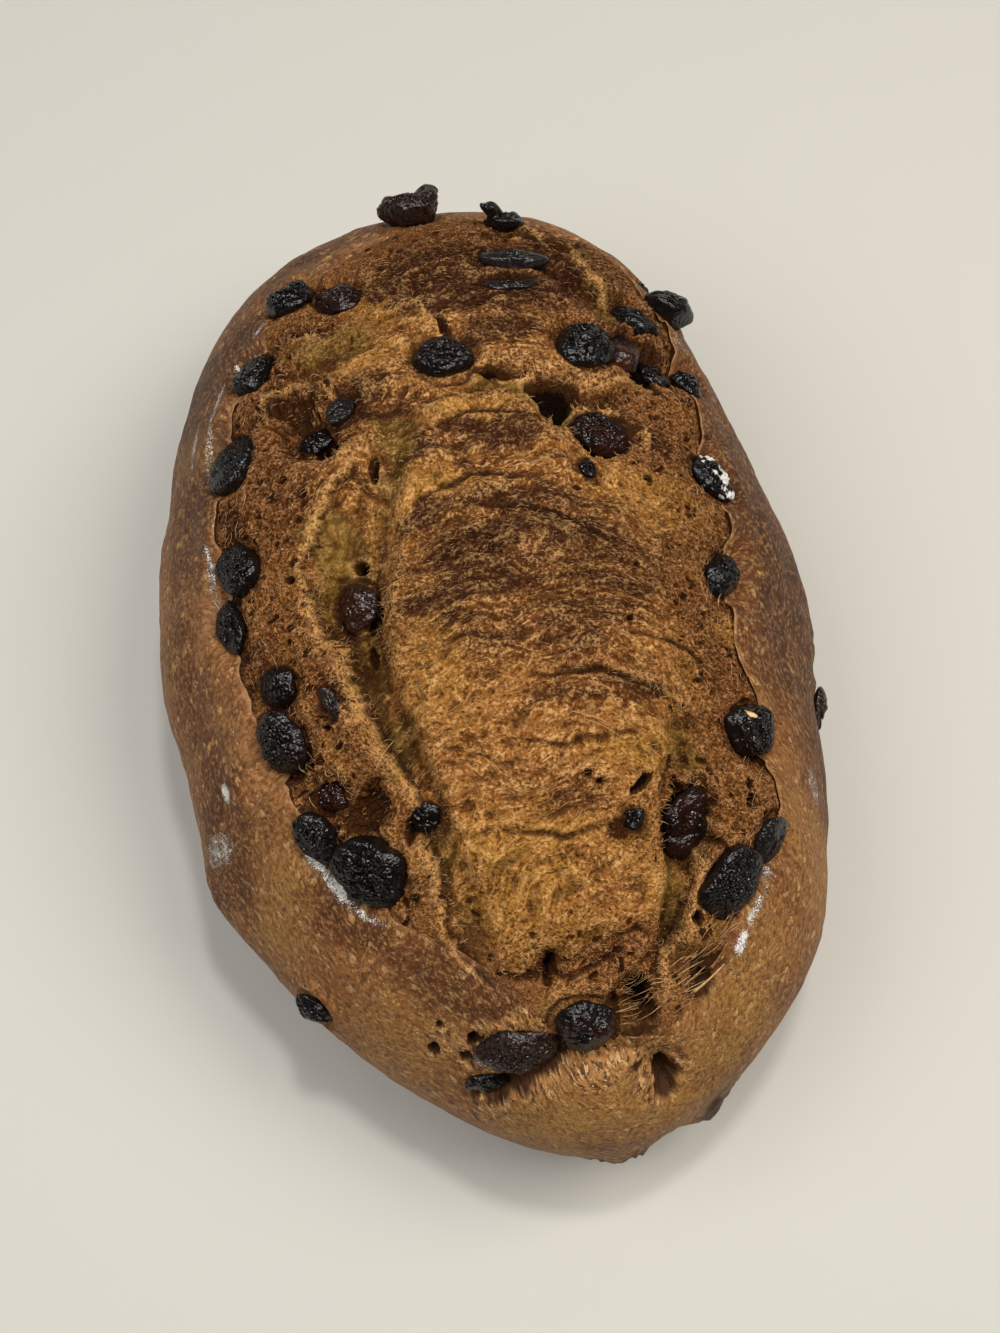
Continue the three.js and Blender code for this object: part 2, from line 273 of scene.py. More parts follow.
# Rows of points joined by four-sided faces; columns close on themselves, and each end closes on its middle
def tubeMesh(name, rows, startPoint=None, endPoint=None):
    count, across = rows.shape[:2]
    given = (rows[0], startPoint), (rows[-1], endPoint)
    ends = [row.mean(0) if point is None else point for row, point in given]
    points = np.concatenate([rows.reshape(-1, 3), ends])
    i, j = np.arange(count - 1)[:, None] * across, np.arange(across)
    k = (j + 1) % across
    quads = np.stack([i + j, i + k, i + k + across, i + j + across], -1).reshape(-1, 4)
    last, start, end = (count - 1) * across, len(points) - 2, len(points) - 1
    first = np.stack([np.full(across, start), k, j], -1)
    final = np.stack([np.full(across, end), last + j, last + k], -1)
    return makeMesh(name, points, quads, np.concatenate([first, final]))


# A mesh in metres on the frame's own plan, from millimetres on the loaf's
def makeMesh(name, points, quads, triangles):
    corners = np.concatenate([quads.ravel(), triangles.ravel()]).astype(np.int32)
    starts = np.concatenate([np.arange(len(quads)) * 4, len(quads) * 4 + np.arange(len(triangles)) * 3])
    shifted = points - np.array([*loafForm["middle"], 0])
    mesh = bpy.data.meshes.new(name)
    mesh.vertices.add(len(points))
    mesh.vertices.foreach_set("co", (shifted * millimetre).astype(np.float32).ravel())
    mesh.loops.add(len(corners))
    mesh.loops.foreach_set("vertex_index", corners)
    mesh.polygons.add(len(starts))
    mesh.polygons.foreach_set("loop_start", starts.astype(np.int32))
    mesh.update(calc_edges=True)
    mesh.validate()
    mesh.shade_smooth()
    piece = bpy.data.objects.new(name, mesh)
    bpy.context.scene.collection.objects.link(piece)
    return piece


# Values of the first points of a piece; the rest, which lie out of sight, get nought
def addAttribute(piece, name, values):
    rest = len(piece.data.vertices) - len(values)
    values = np.concatenate([values, np.zeros((rest, *values.shape[1:]))])
    attribute = piece.data.attributes.new(name, "FLOAT" if values.ndim == 1 else "FLOAT_VECTOR", "POINT")
    attribute.data.foreach_set("value" if values.ndim == 1 else "vector", values.astype(np.float32).ravel())


# Three numbers for each point or face of a mesh
def readAll(parts, key):
    flat = np.zeros(len(parts) * 3, np.float32)
    parts.foreach_get(key, flat)
    return flat.reshape(-1, 3)


# The frame's places, in metres, as millimetres on the loaf's plan
def onPlan(places):
    return places / millimetre + [*loafForm["middle"], 0]


# The middle, the outward direction, the size and the faces of each raisin's solid
def measureRaisins():
    found = {}
    for name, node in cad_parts.items():
        if not name.startswith("raisin_"):
            continue
        points = np.unique(np.round(onPlan(readAll(node.data.vertices, "co")), 2), axis=0)
        middle = (points.min(0) + points.max(0)) / 2
        angle = math.atan2(middle[1], middle[0])
        share = math.hypot(middle[0], middle[1]) / float(around(loafForm["widest"], angle))
        lean = float(leanAt(min(share, 0.98)))
        out = np.array([math.sin(lean) * math.cos(angle), math.sin(lean) * math.sin(angle), math.cos(lean)])
        flat = points - middle
        flat = flat - np.outer(flat @ out, out)
        long = np.linalg.svd(flat, full_matrices=False)[2][0]
        long = long - out * (long @ out)
        long /= np.linalg.norm(long)
        wide = np.cross(out, long)
        found[name] = {
            "middle": middle, "out": out, "long": long, "wide": wide,
            "length": np.ptp(points @ long), "width": np.ptp(points @ wide), "depth": np.ptp(points @ out),
            "faceOut": readAll(node.data.polygons, "normal").astype(float),
            "faceAt": onPlan(readAll(node.data.polygons, "center")),
        }
    return found


raisins = measureRaisins()
print(len(raisins), "raisins measured")

# Openings in crumb and crust alike
openings = {
    "ragged": 0.26,  # how torn their edges are
    "fineTears": (1.1, 51, 2),
    "coarseTears": (3, 52, 1),
    "coarseShare": 1.2,
    "steep": 0.45,  # share of a gap over which its side falls
    "shaded": 0.42,  # and over which its painted shade grows
    "poreReach": 1.15,  # where a pore begins, in radii
    "poreSteep": 0.35,
    "poreUneven": 0.18,
    # round pores: [x, y, radius, depth]
    "pores": [
        [-30.4, 6.8, 1.8, 6], [56.9, 20.8, 1.0, 3], [55.8, 17.5, 1.1, 3], [59, 26, 0.8, 2.5],
        [61, 12, 0.8, 2.5], [46.3, -60.6, 1.0, 4], [45.8, -64.6, 1.3, 4], [28.4, -87.9, 1.1, 3],
        [-24, -100.6, 1.7, 4], [-33.4, -100.4, 1.1, 3], [9, -113.6, 0.9, 2.5], [-26.7, -103.6, 1.3, 3],
        [-31, -96, 0.8, 2], [33, 47, 0.8, 2], [22, 9, 0.8, 2], [-41, 30, 0.9, 3], [-44, 27, 0.7, 2],
        [-37, 24, 0.9, 2.5], [10, -54, 0.7, 2], [12, -56, 0.6, 2], [31, -10, 0.7, 2], [27, -22, 0.7, 2],
        [-46, -6, 0.8, 2.5], [-48, -38, 0.8, 2.5], [-44, 5, 0.8, 2.5], [40, 12, 0.8, 2], [48, 5, 0.8, 2.5],
        [50, -14, 0.8, 2],
    ],
    # gaps with steep torn sides: [x, y, half length, half width, turn, depth, how dark their painted shade is]
    "gaps": [
        [12.8, -103.8, 4.6, 2.8, 66, 6, 1], [27.5, -100.5, 5.2, 2.1, 48, 5, 0.8],
        [14.8, -117.4, 3.4, 3.0, 66, 4.5, 0.72], [-29.3, -7.0, 3.6, 5.6, -20, 4.5, 0.6],
        [25.5, 39.2, 6.8, 3.2, -22, 5, 1], [-26.5, -57.5, 3.4, 3, 20, 5, 1],
        [31.5, -67, 8.4, 5.2, 68, 4, 0.9], [-30.5, 39.5, 4.4, 3.0, -8, 5, 1],
        [-46.5, -46.5, 3.6, 2.6, 60, 3.5, 0.8], [47.5, 43, 6.0, 3.6, -62, 6, 1],
        [-6, -92.5, 3.4, 1.0, 62, 3, 0.9], [21.5, -58, 4.2, 1.2, 24, 2.5, 1],
        [10.5, 46.2, 6, 1.3, -4, 2.6, 0.9], [8, -107, 6, 3.6, 20, 1.6, 0.15],
        [-21, 27, 1.3, 3.6, -14, 3, 0.8], [14.5, -66.5, 3.2, 2.6, 0, 2, 0.55],
        [-37.5, -52, 8.5, 6, 10, 1.6, 0.3], [2, 62.5, 1.2, 3.8, 28, 2.4, 0.8],
        [-31.5, -17, 1.6, 4.0, 8, 2.5, 0.7], [-12, -109.6, 12, 1.6, 8, 2.6, 0.8],
        [-35.5, 50, 6.5, 4.4, 10, 3.2, 0.35], [34.5, 27, 9.6, 7.4, -45, 3.0, 0.55],
        [50, 47.5, 5.6, 4.2, -55, 5, 0.95], [37, 87, 3, 6.5, 32, 2.2, 0.3],
    ],
}


# How deep the pores and gaps are at a place, and how much painted shade each lays there
def openingsAt(x, y, lump):
    form = openings
    depth, dark = np.zeros_like(x), np.zeros_like(x)
    for px, py, radius, deep in form["pores"]:
        within = form["poreReach"] - np.hypot(x - px, y - py) / radius - form["poreUneven"] * lump
        opened = smooth(within / form["poreSteep"])
        depth, dark = depth + deep * opened, np.maximum(dark, opened)
    fine, coarse = rough(form["fineTears"], x, y), rough(form["coarseTears"], x, y)
    torn = form["ragged"] * (fine + form["coarseShare"] * coarse)
    for gap in form["gaps"]:
        within = 1 - np.hypot(*inOval(gap, x, y)) + torn
        depth = depth + gap[5] * smooth(within / form["steep"])
        dark = np.maximum(dark, gap[6] * smooth(within / form["shaded"]))
    return depth, dark


# Torn edges of the skin: [x, y, height] along each path, and the ground on its left stands that much higher
cliffs = {
    "tall": 1.35,  # share of the heights below that shows
    "reach": 7,  # how far back the height fades
    "endFade": 5,  # and how far before each end
    "wander": (2.2, 57, 2),
    "wanderReach": 0.8,
    "fray": (0.9, 58, 1),
    "frayReach": 0.5,
    "face": 0.9,  # how far the torn face leans
    "edge": (0.5, 0.7),  # where its bright edge lies and how wide it is
    "foot": (-0.7, 0.9),  # and the shade below it
    "paths": {
        "groove": [[-13.7, -96.4, 0.3], [-21.9, -86.2, 0.8], [-26.2, -79.6, 1.0], [-25, -67.7, 1.3],
                   [-27.6, -58.3, 1.5], [-27, -50, 1.6], [-31.9, -38.4, 1.8], [-35.8, -22.5, 2.0],
                   [-36.4, -13.1, 1.8], [-39.8, -9.7, 1.2], [-40.4, -5.1, 0.8], [-41.5, 7.7, 0.6],
                   [-36.1, 14.2, 0.8], [-29.6, 23.3, 1.2], [-22.2, 29.6, 0.8]],
        "right": [[35.5, -56, 0.6], [35, -64, 1.4], [33.8, -71.4, 1.6], [31.2, -75.9, 1.4], [29.6, -81.4, 1.2],
                  [24.5, -91.6, 1.5], [19.1, -98.4, 1.8], [16.2, -104, 1.2]],
        "mound": [[45, 43, 0.5], [38.7, 40.1, 1.0], [27.6, 41.2, 1.5], [16.8, 44.4, 1.6], [10, 47.6, 1.6],
                  [3, 50, 1.2], [-8, 48, 0.6]],
        "leaf": [[3, 56, 0.5], [1.7, 61.7, 1.2], [0, 66.8, 1.0], [-3, 74, 0.4]],
        "strap": [[-21, 66, 0.5], [-28, 68.5, 1.1], [-37, 70.5, 0.6]],
        "slit": [[-4, -108.6, 0.6], [-12, -111.0, 1.3], [-22, -111.6, 1.2], [-29, -110, 0.5]],
        "slab": [[20, -33, 0.3], [30, -38.5, 0.9], [38, -44, 0.4]],
        "valley": [[22, 100, 0.4], [31, 92, 1.2], [37.5, 84, 1.4], [42, 74, 1.2], [45, 64, 0.5]],
        "cave": [[42, 17, 0.6], [43.5, 25, 1.4], [39, 33, 1.6], [30, 37, 1.3], [23, 33, 0.6]],
        "archRim": [[-43.5, 47, 0.6], [-41, 54, 1.4], [-34.5, 56, 1.4], [-28, 51.5, 1.2], [-25.5, 46, 0.6]],
    },
}


# How much the cliffs lift a place, how close it is to an edge, and how far it lies in the shade of one
def cliffsAt(x, y):
    form = cliffs
    lift, edge, foot = np.zeros_like(x), np.zeros_like(x), np.zeros_like(x)
    wander = form["wanderReach"] * rough(form["wander"], x, y) + form["frayReach"] * rough(form["fray"], x, y)
    for path in form["paths"].values():
        away, side, tall, _ = besidePath(path, x, y)
        fromEnds = [np.hypot(x - end[0], y - end[1]) for end in (path[0], path[-1])]
        ends = smooth((form["endFade"] - np.minimum(*fromEnds)) / form["endFade"])
        over = away * side + wander
        tall = tall * form["tall"] * (1 - ends)
        lift = lift + tall * smooth(over / form["face"] + 0.5) * np.exp(-np.maximum(over, 0) / form["reach"])
        shown = np.clip(tall, 0, 1)
        edge = np.maximum(edge, shown * bell((over - form["edge"][0]) / form["edge"][1]))
        foot = np.maximum(foot, shown * bell((over - form["foot"][0]) / form["foot"][1]))
    return lift, edge, foot


# Raised lumps: [x, y, half length, half width, turn, height]
lumps = [
    [51.5, -26.7, 4.2, 3.2, 70, 1.5], [26.7, -93.5, 5.5, 3.2, 60, 1.2], [9.5, -62, 4, 3, 0, 0.5],
    [22, 52, 12, 5, 0, 0.8], [-36, -34, 3, 4, 0, 0.6], [20, -72, 6, 7, 0, 0.7], [-2, -82, 8, 5, 0, 0.6],
]


# How much the lumps lift a place: each is a bell over its oval
def lumpsAt(x, y):
    out = np.zeros_like(x)
    for lump in lumps:
        out = out + lump[5] * bell(np.hypot(*inOval(lump, x, y)))
    return out


# Millimetres outside a raisin's oval, seen square on to the crust there, and height over its middle
def besideRaisin(raisin, points):
    away = points - raisin["middle"]
    u, v = away @ raisin["long"] / (raisin["length"] / 2), away @ raisin["wide"] / (raisin["width"] / 2)
    return (np.hypot(u, v) - 1) * (raisin["length"] + raisin["width"]) / 4, away @ raisin["out"]


# the crumb drawn up round a raisin and the pocket under it, in millimetres or in shares of the raisin's depth
seat = {
    "reach": 4,  # how far past its length a raisin is looked for
    "uneven": 0.3,
    "edge": 0.5,  # how far past the raisin its pocket begins
    "room": 0.8,  # and over how much it falls
    "under": 0.2,  # share of the depth from the middle to the pocket's floor
    "shoulder": -0.3,  # how high the collar reaches: 0 at the middle, 1 at the top
    "shoulderSlope": 0.1,
    "collar": 1.0,  # how far out its crest is
    "collarWidth": 1.8,
    "collarShare": 0.9,
    "collarRise": 0.15,
    "drawn": (-3, 1),  # how far the crumb is drawn down or up at most
    "raisinShade": (0.2, 0.9),  # where the painted shade round the raisin lies and how wide it is
}


# The height after each raisin has its pocket, with a collar of bread drawn up to its shoulder, and the painted
# shade round each raisin
def seatRaisins(point, normal, height, lump):
    form = seat
    surface = point + normal * height[:, None]
    raisinShade = height * 0
    for name, raisin in raisins.items():
        near = np.linalg.norm(surface - raisin["middle"], axis=1) < raisin["length"] + form["reach"]
        if not near.any():
            continue
        depth = raisin["depth"]
        beside, over = besideRaisin(raisin, surface[near])
        beside = beside + form["uneven"] * lump[near]
        shoulder = raisinLooks.get(name, {}).get("sunk", form["shoulder"]) * depth / 2
        shoulder = np.clip(over, shoulder - form["shoulderSlope"] * depth, shoulder)
        pocket = smooth((form["edge"] - beside) / form["room"])
        collar = bell((beside - form["collar"]) / form["collarWidth"]) * (over < depth)
        drawn = np.clip(shoulder - over, *form["drawn"])
        rise = collar * drawn * form["collarShare"] + form["collarRise"] * collar
        floor = np.minimum(over, -form["under"] * depth)
        height[near] = height[near] + rise * (1 - pocket) + pocket * (floor - over)
        raisinShade[near] = np.maximum(raisinShade[near], bell((beside - form["raisinShade"][0]) / form["raisinShade"][1]))
    return height, raisinShade


raisinForm = {
    "columns": 80,
    "rows": 50,
    "blend": 16,  # how sharply the solid's faces meet
    "full": 0.2,  # how boxy the outline is
    "swell": (5, 94, 1), "swellReach": 0.5,
    "lumpy": (3.5, 98, 2), "lumpyReach": 0.7,
    "wander": [(3, 90, 2), (3, 91, 2)], "wanderReach": 2,
    "furrow": ((3.4, 2.0, 2.4), 92, 2), "furrowWidth": 0.3, "furrowDepth": 0.6,
    "crinkle": (1, 93, 2), "crinkleReach": 0.18,
    "pebbleSize": 1.1, "pebbleSeed": 95, "pebbleWidth": 0.4, "pebbleRise": 0.3,
    "red": (4, 96, 1),
    "flour": (2, 97, 2),
    "hornLean": (0.85, 0.55),  # a horn points this much sideways and outwards
    "hornFrom": 0.88,  # where it begins: 1 is its own direction
    "hornPower": 1.8,
}
plainRaisin = {"grow": 1.05, "flat": 1.0, "drawn": 1, "broad": 1, "furrow": 1, "pebble": 0.7, "horns": [],
               "wet": 0.35, "red": 0.02, "brown": 0.0, "grey": 0.0, "flour": 0.0}
# how each raisin differs from the plain charcoal one: wet is gloss, red is how much the flesh glows through,
# pebble and furrow scale its skin, flour is a dusting, flat is how high its top stands,
# drawn stretches its length and broad its width, sunk is how high the dough reaches up it, in half depths
# from its middle, and a horn is a torn point [direction, height]
raisinLooks = {
    "raisin_01": {"furrow": 2.2, "wet": 0.15, "brown": 0.3, "pebble": 1.4,
                  "horns": [[38, 4.4], [-10, 3.0], [150, 2.0], [100, 2.2]]},
    "raisin_02": {"grow": 1.15, "furrow": 2.0, "wet": 0.25, "pebble": 1.2, "horns": [[150, 5.0], [60, 1.2]]},
    "raisin_03": {"grow": 1.12, "pebble": 1.6, "wet": 1.0, "furrow": 0.4},
    "raisin_04": {"grow": 1.08, "broad": 1.3, "furrow": 1.6, "wet": 0.3, "red": 0.35},
    "raisin_05": {"grow": 1.12, "pebble": 1.6, "wet": 1.0, "furrow": 0.4},
    "raisin_06": {"grow": 1.15, "pebble": 1.4, "wet": 0.8, "furrow": 0.4},
    "raisin_07": {"flat": 0.8, "furrow": 0.7, "wet": 0.1, "grey": 0.6},
    "raisin_09": {"broad": 1.2, "drawn": 0.9, "furrow": 1.4, "wet": 0.35, "red": 0.08},
    "raisin_10": {"flat": 0.9, "broad": 1.25, "furrow": 1.6, "wet": 0.55, "pebble": 0.3},
    "raisin_11": {"grow": 1.5, "sunk": -0.5, "furrow": 0.2, "pebble": 0.1, "wet": 1.0, "red": 0.8},
    "raisin_12": {"grow": 1.2, "flat": 0.8, "sunk": -0.2, "furrow": 1.2, "wet": 0.8},
    "raisin_13": {"grow": 1.3, "flat": 1.2, "sunk": -0.3, "furrow": 1.2, "wet": 0.3},
    "raisin_14": {"grow": 1.3, "flat": 1.4, "drawn": 0.8, "broad": 1.15, "furrow": 0.6, "wet": 0.8},
    "raisin_17": {"flat": 0.8, "sunk": 0.4, "furrow": 1.3, "wet": 0.7, "red": 0.4, "pebble": 1.1},
    "raisin_19": {"drawn": 1.15, "flat": 1.1, "sunk": -0.5, "furrow": 1.2, "pebble": 0.3, "wet": 0.1,
                  "grey": 0.5},
    "raisin_20": {"grow": 1.15, "drawn": 1.15, "flat": 1.1, "sunk": -0.4, "furrow": 1.2, "pebble": 0.3,
                  "wet": 0.1, "grey": 0.5},
    "raisin_21": {"pebble": 1.3, "wet": 0.9, "flour": 0.9},
    "raisin_22": {"grow": 1.15, "furrow": 1.3, "pebble": 0.3, "wet": 0.4},
    "raisin_23": {"furrow": 1.3, "pebble": 0.7, "wet": 1.0, "red": 0.1},
    "raisin_24": {"flat": 0.85, "furrow": 1.6, "pebble": 0.4, "wet": 0.75, "red": 0.3},
    "raisin_25": {"pebble": 1.9, "wet": 0.9, "furrow": 0.3},
    "raisin_26": {"furrow": 0.6, "pebble": 0.2, "wet": 0.15, "grey": 0.35},
    "raisin_28": {"drawn": 0.92, "broad": 1.05, "furrow": 1.2, "pebble": 0.3, "wet": 0.5, "red": 0.35},
    "raisin_29": {"grow": 1.08, "flat": 0.9, "sunk": -0.1, "furrow": 1.1, "pebble": 1.4, "wet": 0.4, "red": 0.1,
                  "brown": 0.35},
    "raisin_31": {"pebble": 1.7, "wet": 1.0, "furrow": 0.4},
    "raisin_32": {"pebble": 1.2, "wet": 0.6},
    "raisin_33": {"pebble": 0.8, "wet": 0.3},
    "raisin_34": {"pebble": 1.4, "wet": 1.0, "furrow": 1.0, "red": 0.1},
    "raisin_35": {"flat": 0.6, "furrow": 0.5, "pebble": 0.3, "wet": 0.1, "grey": 0.7, "brown": 0.2},
    "raisin_36": {"flat": 0.8, "red": 0.25, "wet": 0.5, "brown": 0.3},
    "raisin_37": {"pebble": 1.2, "wet": 0.5},
    "raisin_38": {"furrow": 1.7, "pebble": 1.0, "wet": 0.8},
    "raisin_40": {"flat": 0.85, "furrow": 0.6, "pebble": 0.2, "wet": 1.0, "red": 0.45, "brown": 0.4},
    "raisin_41": {"sunk": 0.9, "furrow": 1.0, "wet": 0.2},
    "raisin_42": {"furrow": 1.2, "wet": 0.05, "brown": 0.5},
}

crumbForm = {
    "columns": 252,  # cells across and along
    "rows": 384,
    "underCrust": 5,  # how far it runs on below the lip
    "sunk": (1.6, 0.5, 1.5),  # how much lower it lies there, from how far past the lip, and over how much
    "lipFade": (1, 2.5),  # the relief begins this far past the lip and grows over this much
    "thick": 12,
    "tuck": 0.97,  # how far its underside is drawn in
    "grainBow": 120,  # the fibres arch: twice the radius of their bow
    "bend": (26, 31, 2), "bendReach": 8,
    "wander": (9, 34, 2), "wanderReach": 2.6, "wanderAlong": 0.5,
    "pillowEdge": (7, 3, 2), "pillowEdgeAt": 1.22, "pillowEdgeReach": 0.3, "pillowEdgeFade": 0.35,
    "lump": (6, 5, 3),
    "crumple": (2.4, 25, 2), "crumpleReach": 0.35,
    "ripple": ((15, 4.2, 1), 23, 3), "rippleReach": 1.3,
    "foldWarp": 0.9,
    "khakiWarp": [(5, 41, 3), (5, 42, 3)], "khakiReach": 2.4, "khakiCalm": 0.5,
    # the torn net of the band: walls round open cells, with pits between them
    "netWarp": [(2, 7, 1), (2, 8, 1)], "netWarpReach": 1.1,
    "wall": (3.4, 11, 2), "wallWidth": 0.1,
    "fineWall": (1.8, 12, 1), "fineWallWidth": 0.14, "fineWallShare": 0.8,
    "poreCell": 2.9, "poreSeed": 13, "poreSize": 0.34, "poreSteep": 0.2, "poresFrom": 0.72,
    "netGrit": (1, 26, 1), "netHeights": {"wall": 0.7, "floor": 0.3, "pit": 1.0, "grit": 0.3},
    # the fibres of the pillow
    "strands": ((8, 1.7, 1), 17, 3), "strandWidth": 0.9, "strandSharp": 2.2,
    "tufts": ((3.2, 1.1, 1), 19, 2),
    "pillowGrit": (1.3, 27, 1), "pillowHeights": {"strand": 0.6, "floor": 0.3, "tuft": 0.4, "grit": 0.25},
}
# thin folds in the skin of the pillow, as creases are
foldLines = [
    [[-6, 79, 0.6, 0.9], [6, 83, 0.8, 1.3], [20, 81, 0.6, 0.8]],
    [[10, 67, 0.6, 0.9], [22, 71, 0.8, 1.4], [33, 69, 0.6, 0.8]],
    [[12, 88, 0.6, 0.9], [25, 89, 0.8, 1.2], [38, 83, 0.6, 0.8]],
    [[2, 94, 0.6, 0.7], [14, 97, 0.8, 1.0], [30, 92, 0.6, 0.8]],
    [[8, 73, 0.5, 0.7], [20, 77, 0.7, 1.1], [34, 75, 0.5, 0.7]],
    [[-9, 30, 0.7, 0.6], [4, 33, 0.8, 1.0], [18, 30, 0.7, 0.8]],
    [[-14, 12, 0.7, 0.7], [0, 17, 0.9, 1.2], [14, 13, 0.7, 0.6]],
    [[0, 10, 0.7, 0.8], [16, 4, 0.8, 1.1], [28, -6, 0.7, 0.6]],
    [[4, -32, 0.7, 0.8], [18, -33, 0.9, 1.5], [33, -39, 0.7, 0.7]],
    [[-6, -44, 0.6, 0.5], [6, -47, 0.8, 0.9], [22, -47, 0.7, 0.6]],
    [[-10, -62, 0.7, 0.6], [2, -66, 0.8, 0.9], [14, -65, 0.7, 0.6]],
    [[-16, -90, 0.7, 0.8], [-4, -94, 0.8, 1.0], [10, -91, 0.7, 0.8]],
    [[26, -25, 0.6, 0.5], [36, -28, 0.7, 1.0], [43, -33, 0.5, 0.6]],
    [[8, -88, 0.6, 0.6], [14, -87, 0.7, 1.0], [19, -90, 0.6, 0.5]],
]
# looks of the crumb: ovals as patchwork takes them
toasted = [
    [13, 73, 18, 8, 4, 1.3], [26, 84, 14, 7, 0, 0.85], [-1, 98, 12, 4, 0, 0.45], [0, 25, 15, 5, 2, 0.9],
    [8, -8, 27, 17, 4, 0.65], [14, 78, 26, 12, -6, 1.15], [-10, 6, 9, 6, 20, 0.75], [5, 9, 13, 4, -12, 0.8],
    [22, -14, 14, 8, -12, 0.6], [20, -37, 16, 4, -6, 0.95], [6, -60, 8, 5, 10, 0.8],
    [6, -90, 6, 2.4, 0, 0.6], [-38, -25, 3, 8, 22, 0.8], [-39, 50, 9, 3.5, 5, 0.7],
    [53, -30, 4, 12, 0, 0.2], [-24, 48, 14, 3, 8, 0.75], [14, 56, 12, 3.5, 0, 0.7],
    [45, 24, 12, 4, -30, 0.5], [-58, -8, 4, 14, 8, 0.6], [-57, 24, 4, 9, 0, 0.7],
    [-22, -99, 12, 5, -16, 0.7], [36, 88, 8, 10, -40, 0.75], [-45, -68, 10, 4, -48, 0.6],
    [50, -72, 5, 9, 20, 0.5], [56, -8, 4, 9, 0, 0.15], [-31, 71, 8, 2.4, -12, 0.7], [-38, 62, 5, 3, 0, 0.5],
    [-36, 30, 6, 12, 30, 0.35], [-20, 42, 8, 3, 10, 0.7],
]
khakiCrumb = [
    [-22, 64, 8, 4.5, 10, 0.8], [-31, 64, 6, 3.2, 0, 0.8], [-14, 33, 5, 8, 15, 0.8],
    [-33, 10, 6, 9, 20, 1.0], [-36, -2, 4, 9, 0, 0.9], [-32, -20, 3.4, 12, 0, 1.0],
    [-28, -40, 4.5, 8, -14, 0.85], [-24, -66, 4, 9, -8, 0.6], [-22, -82, 3.5, 7, -10, 0.55],
    [41, 84, 3.5, 6, 30, 0.8], [43.5, 68, 3, 8, 10, 0.7], [34, -53, 4, 6, 15, 0.75],
    [24, -86, 3.4, 12, -10, 0.9], [13, 43.5, 8, 2.6, -8, 0.95], [23, 38, 7, 3.5, -25, 0.9],
    [45, 39, 7, 2.6, -30, 0.6], [-7, -98, 7, 3.5, 10, 0.5], [10, -107, 6, 4, 20, 0.8],
    [4, -43, 6, 3, 0, 0.3], [-18, 22, 5, 5, 0, 0.6], [27, -94, 4, 5, -20, 0.3],
]
goldenCrumb = [
    [-10, 76, 7, 10, -15, 1.0], [-13, 57, 11, 5, 8, 0.8], [-14, 15, 14, 6, 6, 0.9],
    [4, 34, 16, 3.5, -4, 0.95], [-15, -23, 9, 15, 0, 0.6], [-8, -72, 14, 13, 0, 0.85],
    [38, 6, 14, 8, -4, 0.65], [-2, -86, 12, 5, 0, 0.7], [24, -50, 12, 5, -4, 0.95],
    [28, -95, 5, 11, -30, 1.0], [20, -74, 7, 12, 0, 0.7], [16, 104, 22, 5, -4, 0.5],
    [36, -40, 5, 9, 0, 0.4], [-30, -84, 6, 10, 30, 0.6], [28, 60, 10, 3, 12, 0.4],
    [51.5, -26.7, 4, 3.4, 70, 1.2], [-26, 44, 3, 4, 0, 0.6], [-40, -58, 6, 3, -20, 0.5],
]


# The fibres' own coordinates, along and across lines that arch over the loaf and wander
def grainOf(x, y):
    form = crumbForm
    wander = rough(form["bend"], x, y) * form["bendReach"] + rough(form["wander"], x, y) * form["wanderReach"]
    return x + wander * form["wanderAlong"], y + x * x / form["grainBow"] + wander


# Where the crumb is smooth-grown pillow, 1, and where it is torn net, 0
def pillowShare(x, y):
    form = crumbForm
    spread = np.hypot(x / tornForm["pillowWidth"], y / tornForm["pillowLength"])
    ragged = form["pillowEdgeReach"] * rough(form["pillowEdge"], x, y)
    return smooth((form["pillowEdgeAt"] - spread + ragged) / form["pillowEdgeFade"])


# How far each cell of a grid stands over the mean of the square of cells round it
def sharper(grid, reach):
    mean = grid
    for axis in (0, 1):
        mean = sum(np.roll(mean, step, axis) for step in range(-reach, reach + 1)) / (2 * reach + 1)
    return grid - mean


# A square sheet of cells eased into the round of the lip: its shape, and x, y and angle of each corner
def crumbSheet():
    form = crumbForm
    a = np.linspace(-1, 1, form["columns"] + 1)[None, :].repeat(form["rows"] + 1, 0)
    b = np.linspace(-1, 1, form["rows"] + 1)[:, None].repeat(form["columns"] + 1, 1)
    sideways = np.abs(a) > np.abs(b)
    safeA, safeB = np.where(a == 0, 1e-9, a), np.where(b == 0, 1e-9, b)
    radius = np.where(sideways, a, b)
    angle = np.where(sideways, math.pi / 4 * b / safeA, math.pi / 2 - math.pi / 4 * a / safeB)
    angle = np.where(radius < 0, angle + math.pi, angle)
    reach = around(tornForm["lip"], angle) * around(loafForm["widest"], angle) + form["underCrust"]
    reach = np.abs(radius) * reach
    return reach.shape, (reach * np.cos(angle)).ravel(), (reach * np.sin(angle)).ravel(), angle.ravel()


